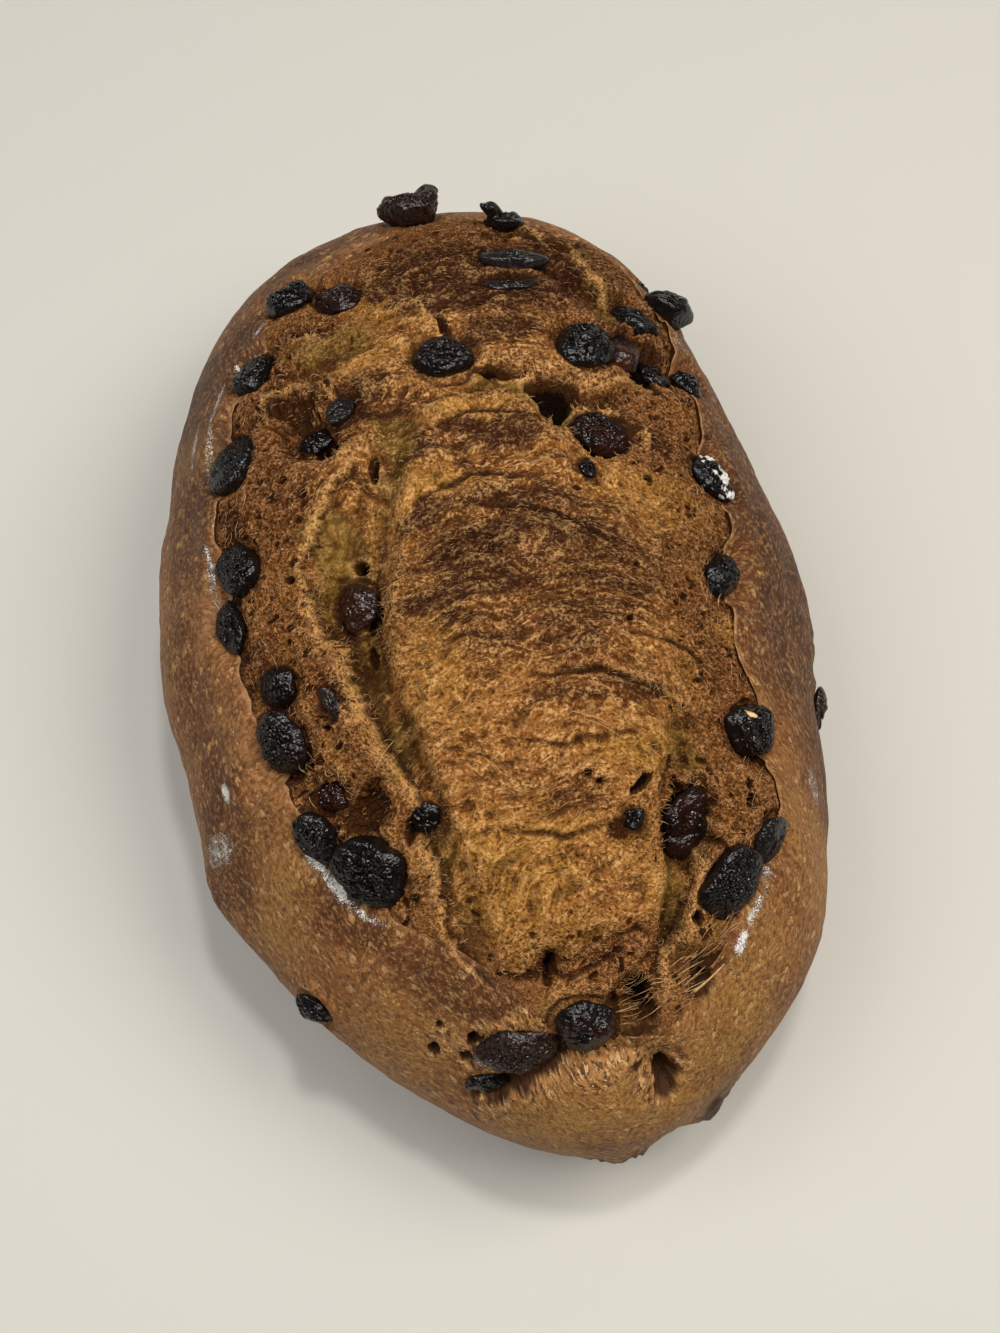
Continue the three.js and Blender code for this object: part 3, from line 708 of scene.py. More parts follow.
# The relief of the crumb: lumps, the torn net of the band, the fibres and folds of the pillow
def crumbRelief(x, y, u, v, pillow):
    form, net, fibre = crumbForm, crumbForm["netHeights"], crumbForm["pillowHeights"]
    band = 1 - pillow
    lump = rough(form["lump"], x, y)
    warpX, warpY = (at + rough(warp, x, y) * form["netWarpReach"] for at, warp in zip((x, y), form["netWarp"]))
    wall = bell(rough(form["wall"], warpX, warpY) / form["wallWidth"])
    fineWall = bell(rough(form["fineWall"], warpX, warpY) / form["fineWallWidth"])
    wall = np.maximum(wall, form["fineWallShare"] * fineWall)
    fromPore, poreOwn = cells(warpX / form["poreCell"], warpY / form["poreCell"], form["poreSeed"])
    pit = smooth((form["poreSize"] * poreOwn ** 0.6 - fromPore) / form["poreSteep"])
    pit = pit * (poreOwn > form["poresFrom"])
    width = form["strandWidth"]
    strands = smooth((width - np.abs(rough(form["strands"], u, v)) * form["strandSharp"]) / width)
    ripple = rough(form["ripple"], u, v)
    relief = lump * (0.7 + 0.4 * pillow) + form["crumpleReach"] * rough(form["crumple"], x, y)
    relief = relief + ripple * form["rippleReach"] * pillow
    netGrit, pillowGrit = (rough(form[name], x, y) for name in ("netGrit", "pillowGrit"))
    tufts = rough(form["tufts"], u, v)
    relief = relief + band * (net["wall"] * wall - net["floor"] - net["pit"] * pit + net["grit"] * netGrit)
    relief = relief + pillow * (fibre["strand"] * strands - fibre["floor"] + fibre["tuft"] * tufts
                                + fibre["grit"] * pillowGrit)
    warpX, warpY = (at + rough(warp, x, y) * form["khakiReach"] for at, warp in zip((x, y), form["khakiWarp"]))
    khaki = patchwork(khakiCrumb, warpX, warpY)
    relief = relief * (1 - form["khakiCalm"] * khaki)
    # the folds' depth, which is also painted as shade in them
    creaseShade = x * 0
    for line in foldLines:
        depth = creaseDepth(line, x + form["foldWarp"] * lump, y + form["foldWarp"] * lump)
        relief, creaseShade = relief - depth, np.maximum(creaseShade, depth)
    return relief, {"lump": lump, "wall": wall, "pit": pit, "strands": strands, "ripple": ripple,
                    "khaki": khaki, "creaseShade": creaseShade}


# The sheet of crumb with a rim turned down round it and a floor drawn to its middle
def crumbMesh(shape, surface):
    form = crumbForm
    grid = np.arange(len(surface)).reshape(shape)
    quads = np.stack([grid[:-1, :-1], grid[:-1, 1:], grid[1:, 1:], grid[1:, :-1]], -1).reshape(-1, 4)
    border = np.concatenate([grid[0, :-1], grid[:-1, -1], grid[-1, :0:-1], grid[:0:-1, 0]])
    floor = surface[border] * [form["tuck"], form["tuck"], 1] - [0, 0, form["thick"]]
    count, total = len(border), len(surface)
    lower = total + np.arange(count)
    nextLower = total + (np.arange(count) + 1) % count
    sides = np.stack([border, lower, nextLower, np.roll(border, -1)], -1)
    bottom = np.stack([np.full(count, total + count), nextLower, lower], -1)
    points = np.concatenate([surface, floor, [[0, 0, floor[:, 2].min()]]])
    return makeMesh("crumb", points, np.concatenate([quads, sides]), bottom)


crumbBake = {
    "streak": ((15, 2.6, 1), 61, 3), "fineStreak": ((5, 0.9, 1), 64, 2), "cloud": (9, 66, 3),
    "warp": [(8, 43, 3), (8, 44, 3)], "warpReach": (5, 4), "streakReach": (4, 2.5),
    "patches": (0.85, 0.5),  # how strong they are, and how much the streaks break them
    "everywhere": {"streak": 0.26, "fineStreak": 0.12, "band": 0.2, "cloud": 0.25, "ripple": 0.3},
    "farHalf": (0.28, -50, 40),  # how much more the pillow bakes past a y, and over how much of it
    "farRight": (0.25, 45, 15, 12),  # and the far right corner: past a y, over how much of it and of x
    "nearEnd": (0.12, -70, 15),  # and how much less before a y
}


# How far the crumb is baked, in streaks that follow the fibres, and where it stays gold between them
def bakeFields(x, y, u, v, pillow, ripple):
    form, share = crumbBake, crumbBake["everywhere"]
    streak = rough(form["streak"], u, v)
    warpX, warpY = (at + rough(warp, x, y) * reach + streak * drag for at, warp, reach, drag
                    in zip((x, y), form["warp"], form["warpReach"], form["streakReach"]))
    strength, broken = form["patches"]
    streaks = share["streak"] * streak + share["fineStreak"] * rough(form["fineStreak"], u, v)
    bake = patchwork(toasted, warpX, warpY) * (strength + broken * streak) + streaks * pillow
    bake = bake + share["band"] * (1 - pillow) + share["cloud"] * rough(form["cloud"], x, y)
    bake = bake + share["ripple"] * ripple * pillow
    more, start, over = form["farHalf"]
    bake = bake + more * pillow * smooth((y - start) / over)
    more, start, over, aside = form["farRight"]
    bake = bake + more * smooth((y - start) / over) * smooth(x / aside)
    less, start, over = form["nearEnd"]
    bake = bake - less * smooth((start - y) / over)
    return bake, patchwork(goldenCrumb, warpX, warpY) * (strength - broken * streak)


# The crumb: its sheet lifted by everything above, with the fields that its material reads
def makeCrumb():
    form = crumbForm
    shape, x, y, angle = crumbSheet()
    point, normal = dome(leanAt(np.hypot(x, y) / around(loafForm["widest"], angle)), angle)
    inside = insideLip(x, y, angle)
    height = handShaped(*point.T, angle) + crumbHeight(x, y, inside, angle) + lumpsAt(x, y)
    u, v = grainOf(x, y)
    pillow = pillowShare(x, y)
    relief, made = crumbRelief(x, y, u, v, pillow)
    # the openings' depth, and the painted shade laid in them
    opened, hollow = openingsAt(x, y, made["lump"])
    lift, edge, foot = cliffsAt(x, y)
    height = height + (relief + lift) * smooth((inside + form["lipFade"][0]) / form["lipFade"][1]) - opened
    # the raisins' pockets, and painted shade in a ring round each
    height, raisinShade = seatRaisins(point, normal, height, made["lump"])
    lower, past, over = form["sunk"]
    height = height - lower * smooth((-past - inside) / over)
    surface = point + normal * height[:, None]
    # how far the crumb stands over the mean round it: painted highlight on the crests and painted shade in the
    # cavities
    raised = sharper(height.reshape(shape), 3) + 0.6 * sharper(height.reshape(shape), 7)
    piece = crumbMesh(shape, surface)

    band = 1 - pillow
    bake, golden = bakeFields(x, y, u, v, pillow, made["ripple"])
    stands = np.clip(around(tornForm["stands"], angle), 0, 1)
    # painted shade in a band just inside the free lip
    underLipShade = 0.8 * bell((inside - 0.3) / 0.9) * stands * smooth(0.7 + made["lump"] * 2)
    for name, values in {
        "bake": bake, "golden": golden, "khaki": made["khaki"], "raisinShade": raisinShade, "torn": band,
        "hollow": np.maximum(hollow, 0.75 * made["pit"] * band),
        "crestLightCavityShade": np.clip(0.5 + 0.5 * raised.ravel() - 0.2 * foot, 0, 1),
        "creaseShade": np.clip(np.maximum(np.maximum(made["creaseShade"], 0.85 * foot), underLipShade), 0, 1),
        "edge": edge * (1 - hollow),
        "strand": np.clip(band * made["wall"] + pillow * made["strands"], 0, 1),
        "lipNear": bell(inside / 4) * np.clip(1 - around(tornForm["stands"], angle), 0, 1),
    }.items():
        addAttribute(piece, name, values)
    addAttribute(piece, "grain", np.stack([u, v, u * 0], -1) * millimetre)
    return piece, {"x": x, "y": y, "surface": surface, "normal": normal, "inside": inside, "hollow": hollow,
                   "raisinShade": raisinShade, "khaki": made["khaki"]}


crumb, crumbField = makeCrumb()
print("crumb made,", len(crumb.data.polygons), "faces")

crustForm = {
    "columns": 820,
    "topRows": 58,  # from the lip to the widest line
    "sideRows": 34,  # from there to the base
    "baseRows": 6,
    "baseHole": 0.06,  # the last ring's share of the base
    "lipRows": 6,
    "closeToLip": 1.05,  # how the top rows crowd towards the lip
    "edge": 0.3,  # half the thickness of the lip's thin edge
    "wall": 4,  # how far its inner face runs down
    "wallSlant": 1.3,
    "edgeFlat": 1.6,
    "undercut": 0.8, "undercutPower": 0.7,
    "foot": (0.95, 5),  # the hidden foot of that face: how far drawn in, and how far down
    "underLipShade": 0.4,  # painted shade on that face: how dark it is
    "frillCircle": 30,  # the frill of the lip is read on a circle of this radius
    "frill": [(3, 71, 3), (1, 72, 2), (1.5, 73, 3)], "frillReach": (0.45, 0.25, 1.4),
    "curlLeast": 0.2,
    "onTop": 6,  # over what height above the widest line the tears and openings begin
    "hollows": 0.8,  # share of the creases and soft hollows that runs out over the crust
    "tornWarp": (6, 79, 3), "tornWarpReach": 3,
    "crumple": (1.6, 78, 2), "crumpleReach": 0.7, "crumpleSunk": 0.2,
    "fold": (9, 74, 3), "foldReach": 0.6,
    "ripple": (3, 75, 2), "rippleReach": 0.15,
    "streakAt": (6, 7),  # how far outside the lip fine ridges run along it, and how wide their band is
    "streakSize": 2.2, "streakTurn": 6, "streakSeed": 76, "streakReach": 0.45,
    "bulge": (1.8, 77, 3), "bulgeReach": 1.8,
    # the skin's own coordinates and the fields of colour
    "stretch": 0.86,  # how much the blisters are drawn out along the lip
    "inward": -1.0,  # their height inside the lip
    "baseStep": 8,  # and how far apart the rings under the base count
    "warp": [(7, 81, 3), (7, 82, 3)], "warpReach": 4, "flourWarp": 0.8,
    "lowDown": 30,  # the height up to which the sides count as low
    "darkCloud": ((14, 14, 10), 83, 3), "darkReach": 0.45,
    "paleCloud": ((20, 20, 12), 84, 2), "paleReach": 0.25, "paleLow": (0.4, 0.3),
    "lipLine": 1.2,
    "underside": (2.5, 2),
}
# dark caramelised patches, pale ones, an ash-grey film that is partly painted sheen, torn places, and dustings
# of flour with thin painted sheen streaks among them, seen from above
darkCrust = [
    [-44, -68, 10, 6, -50, 0.7], [-27, -88, 14, 7, -38, 0.75], [70, -8, 16, 62, 6, 0.85],
    [-60, 45, 8, 20, -15, 0.8], [-60, 64, 8, 16, -22, 0.9], [-50, 74, 9, 15, -42, 1.1],
    [-69, -41, 5, 18, 0, 0.6], [-72, -6, 5, 16, 4, 0.5], [71, -20, 6, 22, 0, 0.7], [66, 30, 5, 24, 14, 0.5],
    [55, 66, 6, 16, 24, 0.5], [-30, 100, 18, 5, 26, 0.7], [-66, 24, 5, 12, 0, 0.4],
    [30, -116, 8, 6, 30, 0.35], [76, -62, 4, 16, 0, 0.4], [12, 116, 20, 4, 0, 0.6],
    [-76, -52, 4, 8, 0, 0.6], [56, -20, 6, 18, 0, 0.6], [0, 106, 20, 4, 0, 0.5],
]
paleCrust = [
    [0, -119, 26, 8, 0, 0.9], [30, -108, 16, 10, 40, 0.65], [-40, -96, 14, 9, -36, 0.5],
    [-60, -64, 6, 12, -20, 0.4], [60, -78, 10, 16, 20, 0.55], [-77, 0, 4, 40, 0, 0.3],
    [-62, 52, 6, 10, 30, 0.3], [44, -92, 8, 8, 0, 0.5],
]
ashAndSheenCrust = [
    [-58, 48, 7, 22, -18, 0.35], [-48, 70, 7, 14, -42, 0.25], [-64, 16, 4, 18, -4, 0.6],
    [-34, 92, 14, 5, 32, 0.7], [-66, -20, 4, 16, 4, 0.35],
]
tornCrust = [
    [-18, -102, 12, 4.5, 6, 1.0], [-31, -99, 4, 4, 0, 0.9], [2, -110, 8, 4, 10, 0.9],
    [14, -113, 7, 4, -10, 1.0], [11, -117, 5, 3, 10, 0.8], [-4, 112, 14, 3, 0, 0.4],
    [-16, -112, 14, 2.2, 4, 0.7],
]
# flour dustings, with thin white streaks among them that are painted sheen
flourAndSheenCrust = [
    [-61.5, 17, 0.8, 6, 6, 0.75], [-67.4, -34.5, 0.9, 2.6, 6, 1.0], [-71.5, -44, 3.4, 4.4, 30, 0.62],
    [-50.5, -55.5, 1.5, 5, 20, 0.95], [-46.8, -62.5, 1.6, 5, 32, 1.0], [-42.5, -70, 0.9, 6, 44, 0.8],
    [-53.5, 60, 0.8, 7, -24, 0.7], [-57.5, 48, 0.8, 9, -14, 0.7], [-61, 52, 0.7, 8, -16, 0.6],
    [-47, 69, 0.9, 2.2, 20, 0.9], [45.6, -79, 1.0, 4, -14, 0.8], [41.5, -86, 1.0, 5, -38, 0.8],
    [36.2, -93, 1.2, 3, -34, 1.0], [64, -59, 1.8, 4.4, 0, 0.55], [53, 73, 1.4, 2.4, 30, 1.0],
    [61, 58, 0.8, 3, 10, 0.6], [-40, 79, 0.7, 2.6, -50, 0.8], [-62, 10, 0.7, 5, 6, 0.6],
    [-30, 88, 3, 0.7, 35, 0.7], [-22, 95, 4, 0.6, 22, 0.5], [-23, -104, 2, 1.2, 0, 0.55],
]
# lumps over buried raisins by the near end, where their dark skin shows: [x, y, z, radius]
bulges = [[27, -121, 27, 7], [6.5, -125, 27, 4.5], [-0.5, -125, 26, 3.5], [-77, -50, 40, 5], [78, -18, 38, 4]]


# Rings of the smooth crust, from the frayed lip over the widest line to the base: their leans
def crustLeans(angle, stands):
    form = crustForm
    circle = np.cos(angle) * form["frillCircle"], np.sin(angle) * form["frillCircle"]
    broad, fine, merged = (rough(texture, *circle) for texture in form["frill"])
    reaches = form["frillReach"]
    frill = reaches[0] * broad + reaches[1] * fine
    frill = frill + (1 - stands) * reaches[2] * merged
    lip = leanAt(around(tornForm["lip"], angle) - (form["edge"] - frill) / around(loafForm["widest"], angle))
    down = np.linspace(0, 1, form["topRows"] + 1)[:, None] ** form["closeToLip"]
    side = np.linspace(0, 1, form["sideRows"] + 1)[1:, None]
    return np.concatenate([lip + (math.pi / 2 - lip) * down, math.pi / 2 * (1 + side) + angle * 0])


# The lip from the bottom of its inner face up to its edge, which bends over on a half circle
def lipRings(angle, first, up):
    form, zero = crustForm, angle * 0
    out = np.stack([np.cos(angle), np.sin(angle), zero], -1)
    inward = np.cross(np.stack([-np.sin(angle), np.cos(angle), zero], -1), up)
    inward = inward * np.sign(-(inward * out).sum(-1))[:, None]
    bow = np.linspace(1, 0, form["lipRows"])[:, None, None]
    wall = first - up * (form["edge"] * form["wallSlant"] + form["wall"] * bow)
    wall = wall - inward * form["undercut"] * bow ** form["undercutPower"]
    bend = np.linspace(0, math.pi, form["lipRows"])[1:-1, None, None]
    edge = first - up * form["edge"] * (1 + np.cos(bend)) / form["edgeFlat"]
    edge = edge + inward * form["edge"] * np.sin(bend)
    drawnIn, lower = form["foot"]
    foot = wall[0] * [drawnIn, drawnIn, 1] - [0, 0, lower]
    return np.concatenate([foot[None], wall]), edge


# The skin's own coordinates: round the lip as on a wheel of its length, and down from it
def skinPlaces(point, first, before):
    form = crustForm
    length = np.cumsum(np.linalg.norm(np.diff(point, axis=0), axis=-1), axis=0)
    length = np.concatenate([length[:1] * 0, length])
    lipArc = np.linalg.norm(np.roll(first, -1, axis=0) - first, axis=-1)
    way = np.cumsum(lipArc) / lipArc.sum() * turn
    wheel = lipArc.sum() / turn * form["stretch"]
    under = np.arange(1, form["baseRows"] + 1)[:, None] * form["baseStep"]
    down = np.concatenate([np.full((before, form["columns"]), form["inward"]), length, length[-1:] + under])
    skin = np.stack([wheel * np.cos(way) + down * 0, wheel * np.sin(way) + down * 0, down], -1)
    return skin.reshape(-1, 3) * millimetre


# The crust, as rings round the loaf: up the lip's inner face, over its thin edge, down the side, under the base
def makeCrust():
    form = crustForm
    angle = turn * np.arange(form["columns"]) / form["columns"]
    lean = crustLeans(angle, np.clip(around(tornForm["stands"], angle), 0, 1))
    turned = (angle + lean * 0).ravel()
    point, normal = dome(lean.ravel(), turned)
    x, y, z = point.T
    inside = insideLip(x, y, turned)
    lump = rough(crumbForm["lump"], x, y, z)
    stands = np.clip(around(tornForm["stands"], turned), 0, 1)
    curl = tornForm["curl"] * (form["curlLeast"] + (1 - form["curlLeast"]) * stands)
    curl = curl * bell(np.minimum(inside, 0) / tornForm["curlWidth"])
    height = handShaped(x, y, z, turned) + np.where(z > loafForm["widestAt"], curl, 0)
    onTop = smooth((z - loafForm["widestAt"]) / form["onTop"])
    opened, hollow = openingsAt(x, y, lump)
    lift, edge, foot = cliffsAt(x, y)
    outer = smooth(-inside / 1.5)
    reach = form["tornWarpReach"]
    torn = patchwork(tornCrust, x + reach * lump, y + reach * rough(form["tornWarp"], x, y, z)) * onTop
    cut = (hollowDepth(x, y) * form["hollows"] - lift) * outer + opened * np.maximum(outer, hollow)
    crumple = form["crumpleReach"] * rough(form["crumple"], x, y, z) - form["crumpleSunk"]
    height = height - cut * onTop + torn * crumple
    fold = rough(form["fold"], x, y, z) * form["foldReach"]
    fold = fold + rough(form["ripple"], x, y, z) * form["rippleReach"]
    ridges = noise(inside / form["streakSize"], turned * form["streakTurn"], 0, form["streakSeed"], 2)
    streak = bell((inside + form["streakAt"][0]) / form["streakAt"][1]) * ridges * form["streakReach"]
    bulge = x * 0
    for bx, by, bz, radius in bulges:
        bulge = np.maximum(bulge, bell(np.sqrt((x - bx) ** 2 + (y - by) ** 2 + (z - bz) ** 2) / radius))
    height = height + bulge * rough(form["bulge"], x, y, z) * form["bulgeReach"]
    height = (height + fold + streak) * smooth(z / loafForm["baseFade"])
    height, raisinShade = seatRaisins(point, normal, height, lump)

    grid = lean.shape + (3,)
    outerRows = (point + normal * height[:, None]).reshape(grid)
    innerRows, lipEdge = lipRings(angle, outerRows[0], normal.reshape(grid)[0])
    base = outerRows[-1] * np.linspace(1, form["baseHole"], form["baseRows"] + 1)[1:, None, None]
    rows = np.concatenate([innerRows, lipEdge, outerRows, base])
    piece = tubeMesh("crust", rows)

    fx, fy, fz = rows.reshape(-1, 3).T
    warp = rough(form["warp"][0], fx, fy, fz)
    wx = fx + warp * form["warpReach"]
    wy = fy + rough(form["warp"][1], fx, fy, fz) * form["warpReach"]
    lowDown = smooth((form["lowDown"] - fz) / form["lowDown"])
    above = (fz > form["lowDown"]).astype(float)
    dark = patchwork(darkCrust, wx, wy) * (1 - lowDown)
    dark = dark + form["darkReach"] * rough(form["darkCloud"], fx, fy, fz)
    less, more = form["paleLow"]
    pale = patchwork(paleCrust, wx, wy) * (1 - less * lowDown) + more * lowDown
    pale = pale + form["paleReach"] * rough(form["paleCloud"], fx, fy, fz)
    flourX, flourY = fx + warp * form["flourWarp"], fy + warp * form["flourWarp"]
    before = len(innerRows) + len(lipEdge)
    lipLine = np.zeros(rows.shape[:2])
    lipLine[len(innerRows):before + 1] = np.clip(around(tornForm["stands"], angle) * form["lipLine"], 0, 1)

    # values of the outer skin, spread to all the rings, with a value of their own for those inside the lip
    def everywhere(values, within=None):
        values = values.reshape(lean.shape)
        inner = values[:1].repeat(before, 0)
        if within is not None:
            inner[:len(innerRows)] = within
        return np.concatenate([inner, values, values[-1:].repeat(form["baseRows"], 0)]).ravel()

    # the openings, the feet of the cliffs and the lip's inner face get painted shade
    for name, values in {
        "dark": dark, "pale": pale, "ashAndSheen": patchwork(ashAndSheenCrust, wx, wy) * above, "bulge": everywhere(bulge),
        "flour": patchwork(flourAndSheenCrust, flourX, flourY) * above, "lipLine": lipLine.ravel(),
        "underside": smooth((form["underside"][0] - fz) / form["underside"][1]),
        "torn": everywhere(np.maximum(torn, 0.9 * edge * onTop)), "raisinShade": everywhere(raisinShade),
        "hollow": everywhere(np.maximum(hollow, 0.8 * foot * outer) * onTop, form["underLipShade"]),
    }.items():
        addAttribute(piece, name, values)
    addAttribute(piece, "skin", skinPlaces(point.reshape(grid), outerRows[0], before))
    return piece


crust = makeCrust()
print("crust made,", len(crust.data.polygons), "faces")


# Directions from a raisin's middle, on a grid of turns and at its two poles, and the radius of its solid
# in each: a blend of the distances to its faces
def raisinRadius(raisin):
    form = raisinForm
    theta = math.pi * np.arange(1, form["rows"]) / form["rows"]
    phi = turn * np.arange(form["columns"]) / form["columns"]
    theta, phi = (v.ravel() for v in np.meshgrid(theta, phi, indexing="ij"))
    theta, phi = np.append(theta, [0, math.pi]), np.append(phi, [0, 0])
    direction = (np.cos(theta)[:, None] * raisin["long"]
                 + (np.sin(theta) * np.cos(phi))[:, None] * raisin["wide"]
                 + (np.sin(theta) * np.sin(phi))[:, None] * raisin["out"])
    distance = ((raisin["faceAt"] - raisin["middle"]) * raisin["faceOut"]).sum(-1)
    facing = np.maximum(direction @ raisin["faceOut"].T, 0) / np.maximum(distance, 0.5)
    soft = 1 / (facing ** form["blend"]).sum(1) ** (1 / form["blend"])
    return direction, soft * ((1 / facing.max(1)).mean() / soft.mean())


# A raisin: its solid made uneven, its top pressed flat, then furrowed, pebbled and torn into points
def makeRaisin(name, raisin, seed):
    form, look = raisinForm, {**plainRaisin, **raisinLooks.get(name, {})}
    direction, radius = raisinRadius(raisin)
    spot = direction * radius[:, None]
    a, b, c = (spot @ raisin[k] for k in ("long", "wide", "out"))
    a, b = a + seed * 7.3, b + seed * 3.1
    wanderA, wanderB = (rough(wander, a, b, c) * form["wanderReach"] for wander in form["wander"])
    furrow = 1 - smooth(np.abs(rough(form["furrow"], a + wanderA, b + wanderB, c)) / form["furrowWidth"])
    outward = direction @ raisin["out"]
    top = smooth((outward + 0.1) / 0.7)
    size = form["pebbleSize"]
    grains = bell(cellsOver(a / size, b / size, c / size, form["pebbleSeed"]) / form["pebbleWidth"])
    radius = radius + rough(form["swell"], a, b, c) * form["swellReach"]
    relief = rough(form["crinkle"], a, b, c) * form["crinkleReach"] * look["furrow"]
    relief = relief + form["pebbleRise"] * look["pebble"] * grains * top
    relief = relief - form["furrowDepth"] * look["furrow"] * furrow * top
    for degrees, tall in look["horns"]:
        bearing = math.radians(degrees)
        way = math.cos(bearing) * raisin["long"] + math.sin(bearing) * raisin["wide"]
        way = way * form["hornLean"][0] + raisin["out"] * form["hornLean"][1]
        way /= np.linalg.norm(way)
        near = smooth((direction @ way - form["hornFrom"]) / (1 - form["hornFrom"]))
        relief = relief + tall * near ** form["hornPower"]
    spot = direction * look["grow"] * (radius + form["lumpyReach"] * rough(form["lumpy"], a, b, c))[:, None]
    for axis, scale in (("long", look["drawn"]), ("wide", look["broad"])):
        spot = spot + np.outer(spot @ raisin[axis], raisin[axis]) * (scale - 1)
    tallness = spot @ raisin["out"]
    level = spot - tallness[:, None] * raisin["out"]
    widened = np.maximum(1 - outward ** 2, 1e-6) ** (-form["full"] / 2)
    pressed = np.where(tallness > 0, tallness * look["flat"], tallness)
    spot = raisin["middle"] + level * widened[:, None] + raisin["out"] * pressed[:, None]
    spot = spot + direction * relief[:, None]
    rows = spot[:-2].reshape(form["rows"] - 1, form["columns"], 3)
    piece = tubeMesh(name + "_skin", rows, spot[-2], spot[-1])
    middle = smooth((outward - 0.1) / 0.75)
    redSide = smooth(0.55 + 0.6 * rough(form["red"], a, b, c))
    dusted = smooth(rough(form["flour"], a, b, c) * 2 + (spot - raisin["middle"])[:, 0] / 4)
    for key, values in {
        "wet": look["wet"] * middle * (0.5 + 0.5 * grains), "red": look["red"] * redSide,
        "brown": look["brown"] + outward * 0, "furrow": furrow * top, "grey": look["grey"] + outward * 0,
        "flour": look["flour"] * dusted, "pebbly": look["pebble"] * middle,
    }.items():
        addAttribute(piece, key, values)
    return piece


raisinPieces = {name: makeRaisin(name, raisin, i) for i, (name, raisin) in enumerate(sorted(raisins.items()))}
print(len(raisinPieces), "raisins made")

# Torn fibres that stand off the crumb
hairForm = {
    "sides": 3,
    "taper": 0.7,
    "sunk": 0.15,  # how deep their roots stand in the crumb
    "arch": 2.4,  # in radians: how far round its arch a hair has come at its tip
    "curl": 3,
    "fuzz": 9600, "fuzzLength": (0.6, 1.7), "fuzzRadius": 0.06, "fuzzSteps": 3,
    "tornPerPath": 1.5,  # for each millimetre of a cliff
    "tornLength": (0.8, 2.6), "tornRadius": 0.08, "tornSteps": 5,
    "scatter": 500,  # longer hairs over the whole crumb
    "shaggy": ["raisin_24", "raisin_17", "raisin_34", "raisin_37", "raisin_28", "raisin_36"],
    "roundRaisin": (26, 0.9),  # how many stand round each of those, and how far out
    "shaggyGaps": 8,  # the first gaps of the list have hairs round them
    "roundGap": (12, 0.3),
    "lipStep": 0.02,  # in radians: how far ahead along the lip a cord looks for its heading
    # fibres drawn out along the lip, all round and more in the torn net by the near end
    "cords": {
        "lipCords": {"count": 520, "between": (0, turn), "inside": (0.8, 8),
                     "length": (2, 5.5), "radius": 0.09},
        "netCords": {"count": 170, "between": (4.76, 5.12), "inside": (0.7, 6),
                     "length": (2.5, 7), "radius": 0.12},
    },
}
# single strands across holes and folds: [x, y, x, y, radius]
strands = [
    [23, -103, 30.5, -96.5, 0.28], [25, -99.5, 31.5, -94, 0.22], [-27, -34, -20, -33, 0.14],
    [-30, -8, -26, -3, 0.2], [31, -76, 36, -73.5, 0.14], [-20, -108.5, -12, -107, 0.22],
    [-13, -110, -9, -106.6, 0.2], [-25, -112, -22, -107, 0.25], [14, -106.5, 18, -101, 0.14],
    [-34, -43, -30, -40, 0.12], [-24, -49, -19, -45, 0.13], [-22, -52, -17, -53, 0.12],
    [10, -41, 19, -47, 0.06], [12, -43, 20, -50, 0.05], [-27.5, -17, -22, -12, 0.12],
]
# how they lie: raised at the root, thicker by this much, arched, curled and bright
strandForm = {"raised": 0.3, "thicker": 1.5, "lift": 0.12, "curl": 0.05, "tone": 0.9, "landsWithin": 2}


# Thin tapering tubes with closed ends. A hair runs along its heading, rises by its lift times the sine of its
# arch, and swings aside by its curl times the sine of the turn that it curls through
def makeHairs(name, steps, roots, ups, headings, lengths, radii, lifts, curls, tones):
    form, count, sides = hairForm, len(roots), hairForm["sides"]
    t = np.linspace(0, 1, steps + 1)[None, :, None]
    headings = headings - ups * (headings * ups).sum(-1)[:, None]
    headings = headings / np.linalg.norm(headings, axis=-1)[:, None]
    side = np.cross(ups, headings)
    grow = lengths[:, None, None]
    path = roots[:, None] - ups[:, None] * form["sunk"] + headings[:, None] * grow * t
    path = path + ups[:, None] * grow * lifts[:, None, None] * np.sin(form["arch"] * t)
    path = path + side[:, None] * grow * curls[:, None, None] * np.sin(form["curl"] * t)
    thick = (radii[:, None] * (1 - form["taper"] * t[0, :, 0]))[..., None, None]
    spin = (turn * np.arange(sides) / sides)[None, None, :, None]
    ring = np.cos(spin) * side[:, None, None] + np.sin(spin) * ups[:, None, None]
    points = (path[:, :, None] + ring * thick).reshape(-1, 3)
    base = np.arange(count)[:, None, None] * (steps + 1) * sides
    i, j = np.arange(steps)[None, :, None] * sides, np.arange(sides)[None, None, :]
    k = (j + 1) % sides
    quads = np.stack([base + i + j, base + i + k, base + i + k + sides, base + i + j + sides], -1)
    start = base[:, 0]
    first = start + np.arange(sides)[::-1]
    final = start + steps * sides + np.arange(sides)
    piece = makeMesh(name, points, quads.reshape(-1, 4), np.concatenate([first, final]))
    addAttribute(piece, "tone", tones[:, None].repeat((steps + 1) * sides, 1).ravel())
    return piece


# The crumb's nearest vertex to a place on the plan, from a table of one millimetre squares
def crumbTable():
    spread = 140
    table = np.zeros((2 * spread, 2 * spread), int)
    column = np.clip(np.round(crumbField["x"]).astype(int) + spread, 0, 2 * spread - 1)
    row = np.clip(np.round(crumbField["y"]).astype(int) + spread, 0, 2 * spread - 1)
    table[row, column] = np.arange(len(column))
    return lambda x, y: table[np.round(y).astype(int) + spread, np.round(x).astype(int) + spread]


nearestCrumb = crumbTable()


